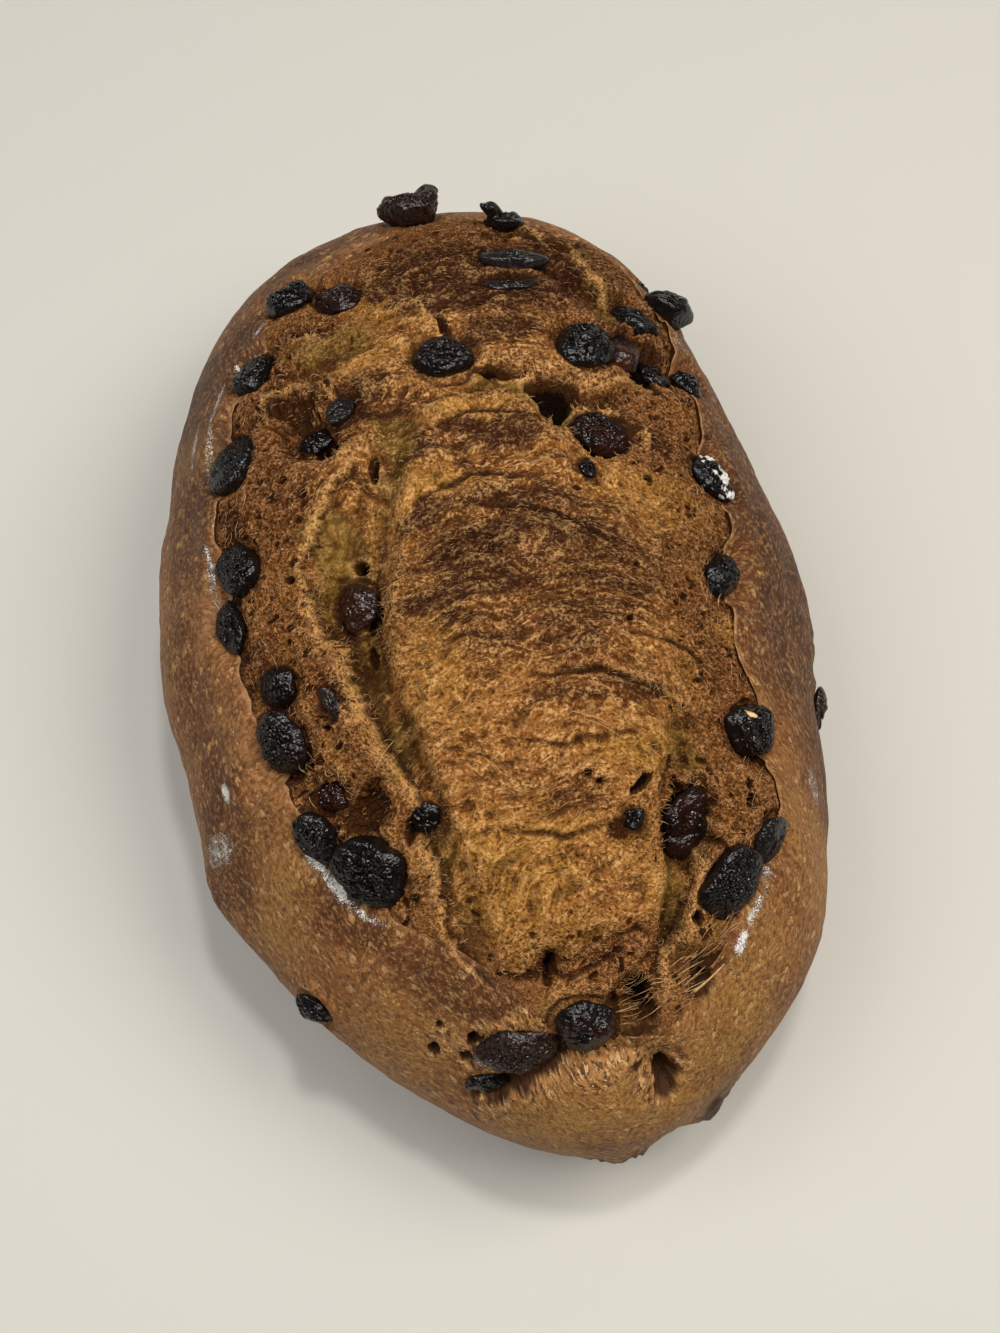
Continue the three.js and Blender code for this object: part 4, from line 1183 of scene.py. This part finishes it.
# Hairs rooted at vertices of the crumb, heading along the fibres or along a given way
def hairsOn(at, headings, low, high, radius, lift, draw, minTone=0.2, wild=0.35):
    field = crumbField
    keep = (field["inside"][at] > 0.6) & (field["hollow"][at] < 0.6)
    at, headings, n = at[keep], headings[keep], int(keep.sum())
    wiggle = draw.normal(0, wild, (n, 3))
    lengths = draw.uniform(low, high, n)
    return {
        "roots": field["surface"][at], "ups": field["normal"][at],
        "headings": headings + wiggle, "lengths": lengths,
        "radii": radius * draw.uniform(0.6, 1.3, n), "lifts": lift * draw.uniform(0.2, 1.5, n),
        "curls": draw.normal(0, wild / 2, n), "tones": np.clip(draw.uniform(minTone, 1, n), 0, 1),
    }


# Headings along the fibres at places this far across the plan, either way at random
def alongGrain(x, draw):
    way = np.stack([np.ones_like(x), -2 * x / crumbForm["grainBow"], x * 0], -1)
    return way * draw.choice([-1.0, 1.0], len(x))[:, None]


# Places a given way inside the lip
def alongLip(angle, inward):
    reach = around(tornForm["lip"], angle) * around(loafForm["widest"], angle) - inward
    return np.stack([reach * np.cos(angle), reach * np.sin(angle), angle * 0], -1)


# Places and headings of hairs that hang down over the cliffs
def alongCliffs(draw):
    places, ways = [], []
    for path in cliffs["paths"].values():
        for (x0, y0, _), (x1, y1, _) in zip(path, path[1:]):
            dx, dy = x1 - x0, y1 - y0
            span = math.hypot(dx, dy)
            n = int(span * hairForm["tornPerPath"])
            t, off = draw.uniform(0, 1, n), draw.normal(0, 0.6, n)
            places.append(np.stack([x0 + t * dx - off * dy / span, y0 + t * dy + off * dx / span], -1))
            east, north = dy / span + draw.normal(0, 0.5, n), -dx / span + draw.normal(0, 0.5, n)
            ways.append(np.stack([east, north, t * 0], -1))
    return places, ways


# And of those that point inwards round the shaggy raisins and gaps
def aroundOpenings(draw):
    form = hairForm
    places, ways = [], []
    for name in form["shaggy"]:
        raisin, (n, away) = raisins[name], form["roundRaisin"]
        spin = draw.uniform(0, turn, n)
        ring = (np.cos(spin)[:, None] * raisin["long"] * (raisin["length"] / 2 + away)
                + np.sin(spin)[:, None] * raisin["wide"] * (raisin["width"] / 2 + away))
        places.append((raisin["middle"] + ring)[:, :2])
        ways.append(-ring / np.linalg.norm(ring, axis=1)[:, None] + draw.normal(0, 0.4, (n, 3)) * [1, 1, 0])
    for gap in openings["gaps"][:form["shaggyGaps"]]:
        n, away = form["roundGap"]
        spin = draw.uniform(0, turn, n)
        c, s = math.cos(math.radians(gap[4])), math.sin(math.radians(gap[4]))
        u, v = np.cos(spin) * (gap[2] + away), np.sin(spin) * (gap[3] + away)
        ring = np.stack([u * c - v * s, u * s + v * c], -1)
        places.append(ring + gap[:2])
        ways.append(np.concatenate([-ring / np.linalg.norm(ring, axis=1)[:, None], ring[:, :1] * 0], 1))
    return places, ways


# Cords of torn dough that lie along the lip, either way round
def makeCords(name, cord, draw):
    form, count = hairForm, cord["count"]
    angle, inward = draw.uniform(*cord["between"], count), draw.uniform(*cord["inside"], count)
    here, there = alongLip(angle, inward), alongLip(angle + form["lipStep"], inward)
    at = nearestCrumb(here[:, 0], here[:, 1])
    ways = (there - here) / np.linalg.norm(there - here, axis=1)[:, None]
    ways = ways * draw.choice([-1.0, 1.0], count)[:, None]
    cords = hairsOn(at, ways, *cord["length"], cord["radius"], 0.03, draw, 0.0, 0.24)
    return makeHairs(name, form["tornSteps"], **cords)


# The single strands whose two ends both come down on the crumb
def makeStrands():
    form, field = strandForm, crumbField
    ends = np.array(strands)
    feet = [nearestCrumb(ends[:, k], ends[:, k + 1]) for k in (0, 2)]
    landed = [np.hypot(field["x"][at] - ends[:, k], field["y"][at] - ends[:, k + 1]) < form["landsWithin"]
              for at, k in zip(feet, (0, 2))]
    keep = landed[0] & landed[1]
    roots, tips = (field["surface"][at[keep]] for at in feet)
    ups, plain = field["normal"][feet[0][keep]], np.ones(int(keep.sum()))
    span, thick = np.linalg.norm(tips - roots, axis=1), ends[keep, 4] * form["thicker"]
    return makeHairs("tornStrands", hairForm["tornSteps"], roots + ups * form["raised"], ups, tips - roots,
                     span, thick, plain * form["lift"], plain * form["curl"], plain * form["tone"])


# All that frays: fuzz over the crumb, longer hairs by its edges and openings, cords and strands
def makeAllHairs():
    form, field = hairForm, crumbField
    draw = np.random.default_rng(20)
    covered = np.flatnonzero((field["inside"] > 1.5) & (field["raisinShade"] < 0.5) & (field["khaki"] < 0.8))
    at = draw.choice(covered, form["fuzz"], replace=False)
    fuzz = hairsOn(at, alongGrain(field["x"][at], draw), *form["fuzzLength"], form["fuzzRadius"], 0.2, draw)
    pieces = [makeHairs("crumbFuzz", form["fuzzSteps"], **fuzz)]

    places, ways = (a + b for a, b in zip(alongCliffs(draw), aroundOpenings(draw)))
    wide = draw.choice(covered, form["scatter"], replace=False)
    places.append(np.stack([field["x"][wide], field["y"][wide]], -1))
    ways.append(alongGrain(field["x"][wide], draw))
    places = np.concatenate(places)
    at = nearestCrumb(places[:, 0], places[:, 1])
    torn = hairsOn(at, np.concatenate(ways), *form["tornLength"], form["tornRadius"], 0.35, draw, 0.45)
    pieces.append(makeHairs("tornHairs", form["tornSteps"], **torn))
    pieces += [makeCords(name, cord, draw) for name, cord in form["cords"].items()]
    return pieces + [makeStrands()]


hairPieces = makeAllHairs()
print("hairs made,", sum(len(piece.data.polygons) for piece in hairPieces), "faces")

# a torn bit of pale crumb that sticks to the glossy raisin at the right
creamBit = {
    "on": "raisin_23", "along": -0.4, "across": 1.9,  # where it lies, from the raisin's middle
    "halfLength": 1.7, "halfWidth": 0.6, "halfDepth": 0.5, "turn": -35,
    "reach": 1.0,  # how much of the raisin's skin below it sets its height
    "rough": (0.5, 99, 2), "roughness": 0.3, "bent": 0.4,
    "rings": 14, "columns": 18,
}


# The bit: an oval drawn out along its length, bent and roughened
def makeCreamBit():
    raisin, form = raisins[creamBit["on"]], creamBit
    theta = math.pi * np.arange(1, form["rings"])[:, None] / form["rings"]
    phi = turn * np.arange(form["columns"])[None, :] / form["columns"]
    a = np.cos(theta) + phi * 0
    b, c = np.sin(theta) * np.cos(phi), np.sin(theta) * np.sin(phi)
    uneven = 1 + form["roughness"] * rough(form["rough"], a, b, c)
    cos, sin = math.cos(math.radians(form["turn"])), math.sin(math.radians(form["turn"]))
    east, north = np.array([1.0, 0, 0]), np.array([0, 1.0, 0])
    along, across = east * cos + north * sin, north * cos - east * sin
    skin = onPlan(readAll(raisinPieces[form["on"]].data.vertices, "co"))
    middle = raisin["middle"] + east * form["along"] + north * form["across"]
    skin = skin[skin[:, 2] > middle[2]]
    middle = skin[np.linalg.norm((skin - middle)[:, :2], axis=1) < form["reach"]].mean(0)
    rows = (middle + (a * uneven * form["halfLength"])[..., None] * along
            + (b * uneven * form["halfWidth"])[..., None] * across
            + ((c * uneven + a * a * form["bent"]) * form["halfDepth"])[..., None] * raisin["out"])
    piece = tubeMesh("creamBit", rows)
    addAttribute(piece, "tone", np.ones(len(piece.data.vertices)))
    return piece


hairPieces.append(makeCreamBit())


# A colour as it shows on a screen, 0 to 255, for a shader
def paint(*shown):
    return (*(c / 12.92 / 255 if c < 10.3 else ((c / 255 + 0.055) / 1.055) ** 2.4 for c in shown), 1)


# A shader socket whose sums and products are Math nodes
class Amount:
    def __init__(self, recipe, socket):
        self.recipe, self.socket = recipe, socket

    def math(self, operation, first, second):
        made = self.recipe.node("ShaderNodeMath", {"operation": operation}, {0: first, 1: second})
        return Amount(self.recipe, made.outputs[0])

    def __add__(self, other):
        return self.math("ADD", self, other)

    def __sub__(self, other):
        return self.math("SUBTRACT", self, other)

    def __rsub__(self, other):
        return self.math("SUBTRACT", other, self)

    def __mul__(self, other):
        return self.math("MULTIPLY", self, other)

    __radd__, __rmul__ = __add__, __mul__

    def __abs__(self):
        return self.math("ABSOLUTE", self, 0)

    # 0 below the first value, 1 above the second, eased between
    def clipped(self, low, high):
        spread = {"interpolation_type": "SMOOTHSTEP"}
        inputs = {"Value": self, "From Min": low, "From Max": high}
        return Amount(self.recipe, self.recipe.node("ShaderNodeMapRange", spread, inputs).outputs[0])


# A material whose nodes are added one at a time
class Recipe:
    def __init__(self, name):
        self.material = bpy.data.materials.new(name)
        self.material.use_nodes = True
        self.tree = self.material.node_tree
        self.surface = self.tree.nodes["Principled BSDF"]

    # Any node, with its settings and what feeds its sockets
    def node(self, kind, settings, inputs):
        made = self.tree.nodes.new(kind)
        for key, value in settings.items():
            setattr(made, key, value)
        for key, value in inputs.items():
            self.put(made.inputs[key], value)
        return made

    def put(self, socket, value):
        if isinstance(value, Amount):
            self.tree.links.new(value.socket, socket)
        else:
            socket.default_value = value

    def attribute(self, name, output="Fac"):
        return Amount(self, self.node("ShaderNodeAttribute", {"attribute_name": name}, {}).outputs[output])

    def objectPlace(self):
        return Amount(self, self.node("ShaderNodeTexCoord", {}, {}).outputs["Object"])

    # A place stretched each way
    def scaled(self, vector, scale):
        made = self.node("ShaderNodeVectorMath", {"operation": "MULTIPLY"}, {0: vector, 1: scale})
        return Amount(self, made.outputs[0])

    # A place pushed about by noise of a size, so that what is drawn there has no straight edge
    def warped(self, vector, size, reach):
        inputs = {"Vector": vector, "Scale": 1 / (size * millimetre), "Detail": 2.0}
        push = Amount(self, self.node("ShaderNodeTexNoise", {}, inputs).outputs["Color"])
        shift = (reach * millimetre,) * 3
        made = self.node("ShaderNodeVectorMath", {"operation": "MULTIPLY_ADD"}, {0: push, 1: shift, 2: vector})
        return Amount(self, made.outputs[0])

    # Cloudy grain of a size in millimetres, about a half
    def grainy(self, vector, size, detail, roughness):
        inputs = {"Vector": vector, "Scale": 1 / (size * millimetre), "Detail": detail, "Roughness": roughness}
        return Amount(self, self.node("ShaderNodeTexNoise", {}, inputs).outputs["Fac"])

    # Distance to the nearest of scattered points
    def cellular(self, vector, size):
        inputs = {"Vector": vector, "Scale": 1 / (size * millimetre)}
        return Amount(self, self.node("ShaderNodeTexVoronoi", {}, inputs).outputs["Distance"])

    def blend(self, factor, first, second):
        settings = {"data_type": "RGBA", "blend_type": "MIX", "clamp_factor": True}
        return Amount(self, self.node("ShaderNodeMix", settings, {0: factor, 6: first, 7: second}).outputs[2])

    # Colours laid over a first one, each by its own amount
    def layered(self, colour, layers):
        for amount, over in layers:
            colour = self.blend(amount, colour, over)
        return colour

    # The surface's direction where a height from 0 to 1 stands up by a depth in millimetres
    def bump(self, height, strength, depth):
        inputs = {"Height": height, "Strength": strength, "Distance": depth * millimetre}
        return Amount(self, self.node("ShaderNodeBump", {}, inputs).outputs["Normal"])

    def finish(self, values):
        for key, value in values.items():
            self.put(self.surface.inputs[key], value)
        return self.material


crumbLook = {
    "tan": paint(140, 90, 42), "brown": paint(106, 63, 29), "toast": paint(62, 34, 18),
    "golden": paint(160, 112, 46), "khaki": paint(130, 99, 44), "khakiDeep": paint(80, 58, 18),
    # the gap colour is painted shade between fibres and in cavities, the dark ring colour painted shade round
    # the raisins, and the fibre colours the fibres' own paler tone, also laid on as painted highlight
    "fibre": paint(208, 160, 100), "gap": paint(46, 20, 5), "raisinShade": paint(50, 26, 15),
    # the pit and amber colours are painted shade in the openings
    "pit": paint(14, 6, 3), "amber": paint(58, 32, 12), "bandFibre": paint(196, 142, 94),
    # of the colours below, the darkest is painted shade in folds, below the cliffs and just inside the lip
    "edge": paint(204, 152, 90), "creaseShade": paint(38, 18, 8), "crust": paint(110, 70, 40),
    # grain: size in millimetres, detail, roughness
    "threads": (0.9, 3, 0.7), "specks": (0.75, 3, 0.65), "blotch": (3.5, 3, 0.6), "veins": (1.7, 1, 0.5),
    "bumpDepth": 1.1, "shine": 0.05,
}


# Torn crumb: toast, gold and khaki by their fields, paler fibres over dark gaps as the bump rises and falls,
# partly their own tone and partly painted highlight and painted shade, and painted black shade in the openings
def crumbMaterial():
    r, c = Recipe("breadCrumb"), crumbLook
    place = r.objectPlace()
    grain = r.scaled(r.warped(r.attribute("grain", "Vector"), 4, 5), (0.4, 1, 1))
    threads = r.grainy(grain, *c["threads"])
    specks, blotch = r.grainy(place, *c["specks"]), r.grainy(place, *c["blotch"])
    torn, khaki, hollow, crestLightCavityShade = (r.attribute(name) for name in ("torn", "khaki", "hollow", "crestLightCavityShade"))
    veins = r.grainy(r.warped(place, 1.5, 2.0), *c["veins"]) - 0.5
    loops = 1 - abs(veins).clipped(0.0, 0.06)
    fine = (threads * 0.55 + specks * 0.45) * (1 - torn)
    fine = fine + (specks * 0.75 + threads * 0.18 + 0.13 * loops) * torn
    bake = r.attribute("bake") + (blotch - 0.5) * 0.5 + (threads - 0.5) * 0.35
    # the fibres' paler tone on the bump's highs, partly painted highlight, and painted shade in its lows
    light = fine.clipped(0.5, 0.6) * (0.6 + 0.4 * r.attribute("strand")) * (0.95 - 0.5 * khaki)
    light = light * (1 - hollow.clipped(0.0, 0.3))
    dark = (1 - fine).clipped(0.51, 0.61) * (0.8 - 0.45 * khaki)
    bright = r.blend(torn, c["fibre"], c["bandFibre"])
    raisinShade = r.attribute("raisinShade") * 1.1 + (blotch - 0.5) * 1.2
    colour = r.layered(c["tan"], [
        (bake.clipped(0.0, 0.42), c["brown"]),
        (bake.clipped(0.42, 0.95), c["toast"]),
        (r.attribute("golden") * (1 - bake.clipped(0.3, 0.85)) * 0.85, c["golden"]),
        (khaki.clipped(0.25, 0.75) * 0.9, r.blend(blotch.clipped(0.35, 0.65), c["khakiDeep"], c["khaki"])),
        (light * (0.95 - 0.6 * bake.clipped(0.4, 1.0)), bright),
        (dark * 0.95, c["gap"]),
        # painted shade in the crumb's low places and painted highlight on its raised ones
        ((1 - crestLightCavityShade).clipped(0.5, 0.95) * 0.65, c["gap"]),
        (crestLightCavityShade.clipped(0.55, 1.0) * specks.clipped(0.4, 0.6) * 0.4, bright),
        (r.attribute("lipNear") * 0.7, c["crust"]),
        # painted shade round each raisin
        (raisinShade.clipped(0.4, 1.0) * 0.8, c["raisinShade"]),
        (r.attribute("edge") * specks.clipped(0.35, 0.55) * 0.85, c["edge"]),
        # painted shade in the folds, below the cliffs and just inside the free lip
        (r.attribute("creaseShade").clipped(0.25, 1.0) * 0.75, c["creaseShade"]),
        # painted shade in the openings and net pits: amber at their edges, near black deeper in
        (hollow.clipped(0.02, 0.35) * 0.95, c["amber"]),
        (hollow.clipped(0.6, 0.95) * 0.95, c["pit"]),
    ])
    return r.finish({
        "Base Color": colour, "Roughness": 0.66 - 0.3 * light - 0.15 * khaki,
        "Normal": r.bump(fine + 0.5 * loops * torn, 1.0, c["bumpDepth"]), "Specular IOR Level": c["shine"],
    })


crustLook = {
    "sienna": paint(133, 86, 45), "brown": paint(99, 57, 26), "plum": paint(66, 36, 18),
    # the ash colour is a grey film, partly painted sheen
    "tan": paint(154, 111, 52), "blister": paint(192, 148, 92), "ashAndSheen": paint(112, 88, 68),
    "lip": paint(174, 126, 84), "lipFleck": paint(224, 198, 166), "flour": paint(222, 216, 208),
    "base": paint(112, 74, 44), "torn": paint(164, 116, 64), "tornDark": paint(74, 42, 20),
    # the pit and amber colours are painted shade in the openings
    "pit": paint(14, 6, 3), "amber": paint(58, 32, 12), "skinOver": paint(44, 30, 24),
    "cream": paint(206, 168, 116),
    "blotch": (6, 4, 0.6), "cloud": (1.8, 3, 0.65), "specks": (0.5, 3, 0.7), "grit": (1.0, 3, 0.7),
    "streaks": (0.8, 4, 0.7), "ragged": (1.5, 4, 0.7), "lipPatches": (2.5, 3, 0.7), "lipFlecks": (1.8, 3, 0.7),
    "flourGrains": (0.32, 2, 0.6), "flourPatches": (1.6, 3, 0.6),
    # blisters: their size, the warp's size and reach, where they begin and are full, and their patches
    "coarseBlisters": {"size": 2.4, "warp": (1.2, 0.9), "shown": (0.55, 0.72),
                       "patch": (3.0, 3, 0.65), "in": (0.47, 0.59)},
    "fineBlisters": {"size": 1.05, "warp": (0.8, 0.4), "shown": (0.5, 0.72),
                     "patch": (2.2, 3, 0.65), "in": (0.48, 0.61)},
    "bumpDepth": 0.6, "shine": 0.2,
}


# Crust: sienna to plum by its fields, golden blisters drawn out along the lip, a grey film that is partly
# painted sheen, flour in grains with painted sheen streaks, and painted shade in the openings
def crustMaterial():
    r, c = Recipe("breadCrust"), crustLook
    place, skin = r.objectPlace(), r.attribute("skin", "Vector")
    blotch, specks = r.grainy(place, *c["blotch"]), r.grainy(place, *c["specks"])
    cloud, grit = r.grainy(skin, *c["cloud"]), r.grainy(skin, *c["grit"])
    dark = r.attribute("dark") + (blotch - 0.5) * 1.3 + (cloud - 0.5) * 1.0
    coarse, fine = ((1 - r.cellular(r.warped(skin, *kind["warp"]), kind["size"])).clipped(*kind["shown"])
                    * r.grainy(skin, *kind["patch"]).clipped(*kind["in"])
                    for kind in (c["coarseBlisters"], c["fineBlisters"]))
    blister = coarse * 0.8 + fine * 0.6
    streaks = r.grainy(r.scaled(skin, (0.12, 0.12, 1)), *c["streaks"])
    ragged = r.blend(r.grainy(skin, *c["ragged"]).clipped(0.38, 0.58), c["tornDark"], c["torn"])
    ragged = r.blend(grit.clipped(0.55, 0.62) * 0.8, ragged, c["cream"])
    buried = (r.attribute("bulge") + (blotch - 0.5) * 1.5).clipped(0.45, 0.75)
    lipPatches = r.grainy(place, *c["lipPatches"]).clipped(0.4, 0.6)
    lipTone = r.blend(r.grainy(place, *c["lipFlecks"]).clipped(0.58, 0.66), c["lip"], c["lipFleck"])
    flour, hollow = r.attribute("flour"), r.attribute("hollow")
    dust = flour * 1.0 + (r.grainy(place, *c["flourGrains"]) - 0.5) * 2.4
    dust = (dust + (r.grainy(place, *c["flourPatches"]) - 0.5) * 1.0).clipped(0.5, 0.85)
    colour = r.layered(c["sienna"], [
        (dark.clipped(-0.1, 0.45), c["brown"]),
        (dark.clipped(0.45, 1.0), c["plum"]),
        (r.attribute("pale").clipped(0.0, 0.9) * blotch.clipped(0.2, 0.65) * 0.95, c["tan"]),
        (blister * (0.95 - 0.6 * dark.clipped(0.3, 1.0)), c["blister"]),
        (grit.clipped(0.52, 0.62) * 0.35, c["blister"]),
        ((1 - grit).clipped(0.52, 0.62) * 0.6, c["plum"]),
        ((1 - specks).clipped(0.52, 0.62) * 0.35, c["plum"]),
        # ash-grey film in streaks along the lip, partly painted sheen
        (r.attribute("ashAndSheen") * (0.1 + 0.5 * streaks.clipped(0.42, 0.6)), c["ashAndSheen"]),
        ((r.attribute("torn") + (specks - 0.5) * 0.8).clipped(0.25, 0.7), ragged),
        (buried * (0.35 + 0.6 * grit.clipped(0.42, 0.55)), c["skinOver"]),
        (r.attribute("lipLine") * (0.25 + 0.65 * lipPatches), lipTone),
        # flour dusting, with painted sheen in its thin streaks
        (dust * flour.clipped(0.02, 0.3), c["flour"]),
        (r.attribute("underside") * 0.6, c["base"]),
        # painted shade in the openings, below the cliffs and on the lip's inner face: amber, then near black
        (hollow.clipped(0.02, 0.35) * 0.95, c["amber"]),
        (hollow.clipped(0.6, 0.95) * 0.92, c["pit"]),
    ])
    relief = 0.7 * blister + 0.6 * cloud + 0.5 * specks + 0.5 * dust
    return r.finish({
        "Base Color": colour, "Roughness": 0.46 + 0.15 * cloud + 0.3 * dust,
        "Normal": r.bump(relief, 1.0, c["bumpDepth"]), "Specular IOR Level": c["shine"],
    })


raisinLook = {
    "charcoal": paint(10, 8, 8), "ridgeHighlight": paint(30, 25, 22), "red": paint(62, 25, 11),
    "brown": paint(82, 52, 36), "flour": paint(222, 218, 210), "wet": paint(6, 5, 5),
    "grey": paint(50, 45, 43),
    "fine": (0.7, 3, 0.65), "flourGrains": (0.7, 4, 0.7), "glossPatches": (1.6, 2, 0.6), "pebbles": 0.95,
    "bumpDepth": 0.5, "shine": 0.5,
}


# Raisin skin: charcoal with ridges made paler as painted highlight, black and glossy where wet, painted shade
# in its furrows, red where the flesh glows through
def raisinMaterial():
    r, c = Recipe("raisinSkin"), raisinLook
    place, wet = r.objectPlace(), r.attribute("wet")
    fine = r.grainy(place, *c["fine"])
    dust = (r.attribute("flour") + (r.grainy(place, *c["flourGrains"]) - 0.5) * 1.6).clipped(0.55, 0.85)
    colour = r.layered(c["charcoal"], [
        # painted highlight on the ridges that the bump raises
        (fine.clipped(0.52, 0.66) * 0.7, c["ridgeHighlight"]),
        (r.attribute("grey") * fine.clipped(0.3, 0.6), c["grey"]),
        (wet.clipped(0.1, 0.7) * 0.9, c["wet"]),
        # painted shade in the furrows
        (r.attribute("furrow") * 0.5, c["wet"]),
        (r.attribute("brown") * fine.clipped(0.35, 0.65), c["brown"]),
        (r.attribute("red"), c["red"]),
        (dust, c["flour"]),
    ])
    pebbles = 1 - r.cellular(r.warped(place, 1.0, 0.5), c["pebbles"])
    relief = fine * (0.3 - 0.25 * wet) + pebbles * (0.4 + r.attribute("pebbly") * 0.8)
    glossy = wet * 0.7 + 0.3 * r.grainy(place, *c["glossPatches"]).clipped(0.4, 0.6)
    return r.finish({
        "Base Color": colour, "Roughness": 0.3 - 0.12 * glossy + 0.3 * dust,
        "Normal": r.bump(relief, 1.0, c["bumpDepth"]), "Specular IOR Level": c["shine"],
    })


hairLook = {
    "dull": paint(122, 78, 40), "bright": paint(222, 178, 122),
    "shade": (1.2, 2, 0.6), "roughness": 0.5,
}


# Torn fibres: amber to pale gold, each by its own tone
def hairMaterial():
    r, c = Recipe("tornFibre"), hairLook
    shade = r.grainy(r.objectPlace(), *c["shade"]).clipped(0.4, 0.7) * 0.4
    colour = r.layered(c["dull"], [(r.attribute("tone"), c["bright"]), (shade, c["dull"])])
    return r.finish({"Base Color": colour, "Roughness": c["roughness"]})


crumb.data.materials.append(crumbMaterial())
crust.data.materials.append(crustMaterial())
raisinSkin, tornFibre = raisinMaterial(), hairMaterial()
for piece in raisinPieces.values():
    piece.data.materials.append(raisinSkin)
for piece in hairPieces:
    piece.data.materials.append(tornFibre)
print("materials made")

# What each piece stands for
for piece in (crust, crumb, *hairPieces):
    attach(piece, "root")
    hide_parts("loaf")
for name, piece in raisinPieces.items():
    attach(piece, "root")
    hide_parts(name)

studio = {
    "floor": 2.4, "floorColour": paint(193, 190, 182), "floorRoughness": 0.6,
    "sky": (1.0, 0.985, 0.96), "skyStrength": 0.26,
    # broad lamps light the surfaces, and small ones are seen in their shine
    "lamps": {
        "key": {"power": 10.2, "size": 0.7, "at": (0.62, -0.08, 1.05),
                "colour": (1.0, 0.96, 0.89), "shine": False},
        "fill": {"power": 6.9, "size": 0.9, "at": (-0.7, -0.1, 1.0),
                "colour": (0.97, 0.98, 1.0), "shine": False},
        "above": {"power": 3.0, "size": 0.1, "at": (0.1, 0.12, 1.05),
                "colour": (1.0, 0.98, 0.94), "shine": False},
        "sparkMiddle": {"power": 5, "size": 0.12, "at": (0.1, 0.12, 1.05),
                "colour": (1.0, 0.98, 0.96), "shine": True},
        "sparkLeft": {"power": 2.5, "size": 0.12, "at": (-0.3, 0.25, 1.0),
                "colour": (0.98, 0.99, 1.0), "shine": True},
        "sparkRight": {"power": 2.5, "size": 0.12, "at": (0.45, 0.0, 1.0),
                "colour": (1.0, 0.98, 0.94), "shine": True},
    },
    "lens": 50, "sensor": 36, "nearest": 0.01,
    "azimuth": -12.2, "elevation": 68.0, "distance": 0.445, "lookAt": (0.00095, -0.0088, 0.045),
}


# Pale floor, soft light from above right, and the camera at the photograph's viewing angle
def makeStudio():
    half = studio["floor"] / 2
    mesh = bpy.data.meshes.new("floor")
    corners = [(-half, -half, 0), (half, -half, 0), (half, half, 0), (-half, half, 0)]
    mesh.from_pydata(corners, [], [(0, 1, 2, 3)])
    floor = bpy.data.objects.new("floor", mesh)
    bpy.context.scene.collection.objects.link(floor)
    r = Recipe("paleFloor")
    finish = {"Base Color": studio["floorColour"], "Roughness": studio["floorRoughness"]}
    floor.data.materials.append(r.finish(finish))

    world = bpy.data.worlds.new("softLight")
    bpy.context.scene.world = world
    world.use_nodes = True
    sky = world.node_tree.nodes["Background"]
    sky.inputs["Color"].default_value = (*studio["sky"], 1)
    sky.inputs["Strength"].default_value = studio["skyStrength"]
    world.cycles_visibility.glossy = False

    for name, lamp in studio["lamps"].items():
        light = bpy.data.lights.new(name, "AREA")
        light.energy, light.size, light.color = lamp["power"], lamp["size"], lamp["colour"]
        holder = bpy.data.objects.new(name, light)
        x, y, z = lamp["at"]
        holder.location = lamp["at"]
        holder.visible_glossy, holder.visible_diffuse = lamp["shine"], not lamp["shine"]
        holder.rotation_euler = (math.atan2(math.hypot(x, y), z), 0, math.atan2(x, -y))
        bpy.context.scene.collection.objects.link(holder)

    lens = bpy.data.cameras.new("camera")
    lens.lens, lens.sensor_width, lens.clip_start = studio["lens"], studio["sensor"], studio["nearest"]
    camera = bpy.data.objects.new("camera", lens)
    azimuth, elevation = math.radians(studio["azimuth"]), math.radians(studio["elevation"])
    level = math.cos(elevation)
    back = (math.sin(azimuth) * level, -math.cos(azimuth) * level, math.sin(elevation))
    camera.location = [t + studio["distance"] * b for t, b in zip(studio["lookAt"], back)]
    camera.rotation_euler = (math.pi / 2 - elevation, 0, azimuth)
    bpy.context.scene.collection.objects.link(camera)
    bpy.context.scene.camera = camera
    bpy.context.scene.view_settings.view_transform = "Standard"


makeStudio()
print("studio made")
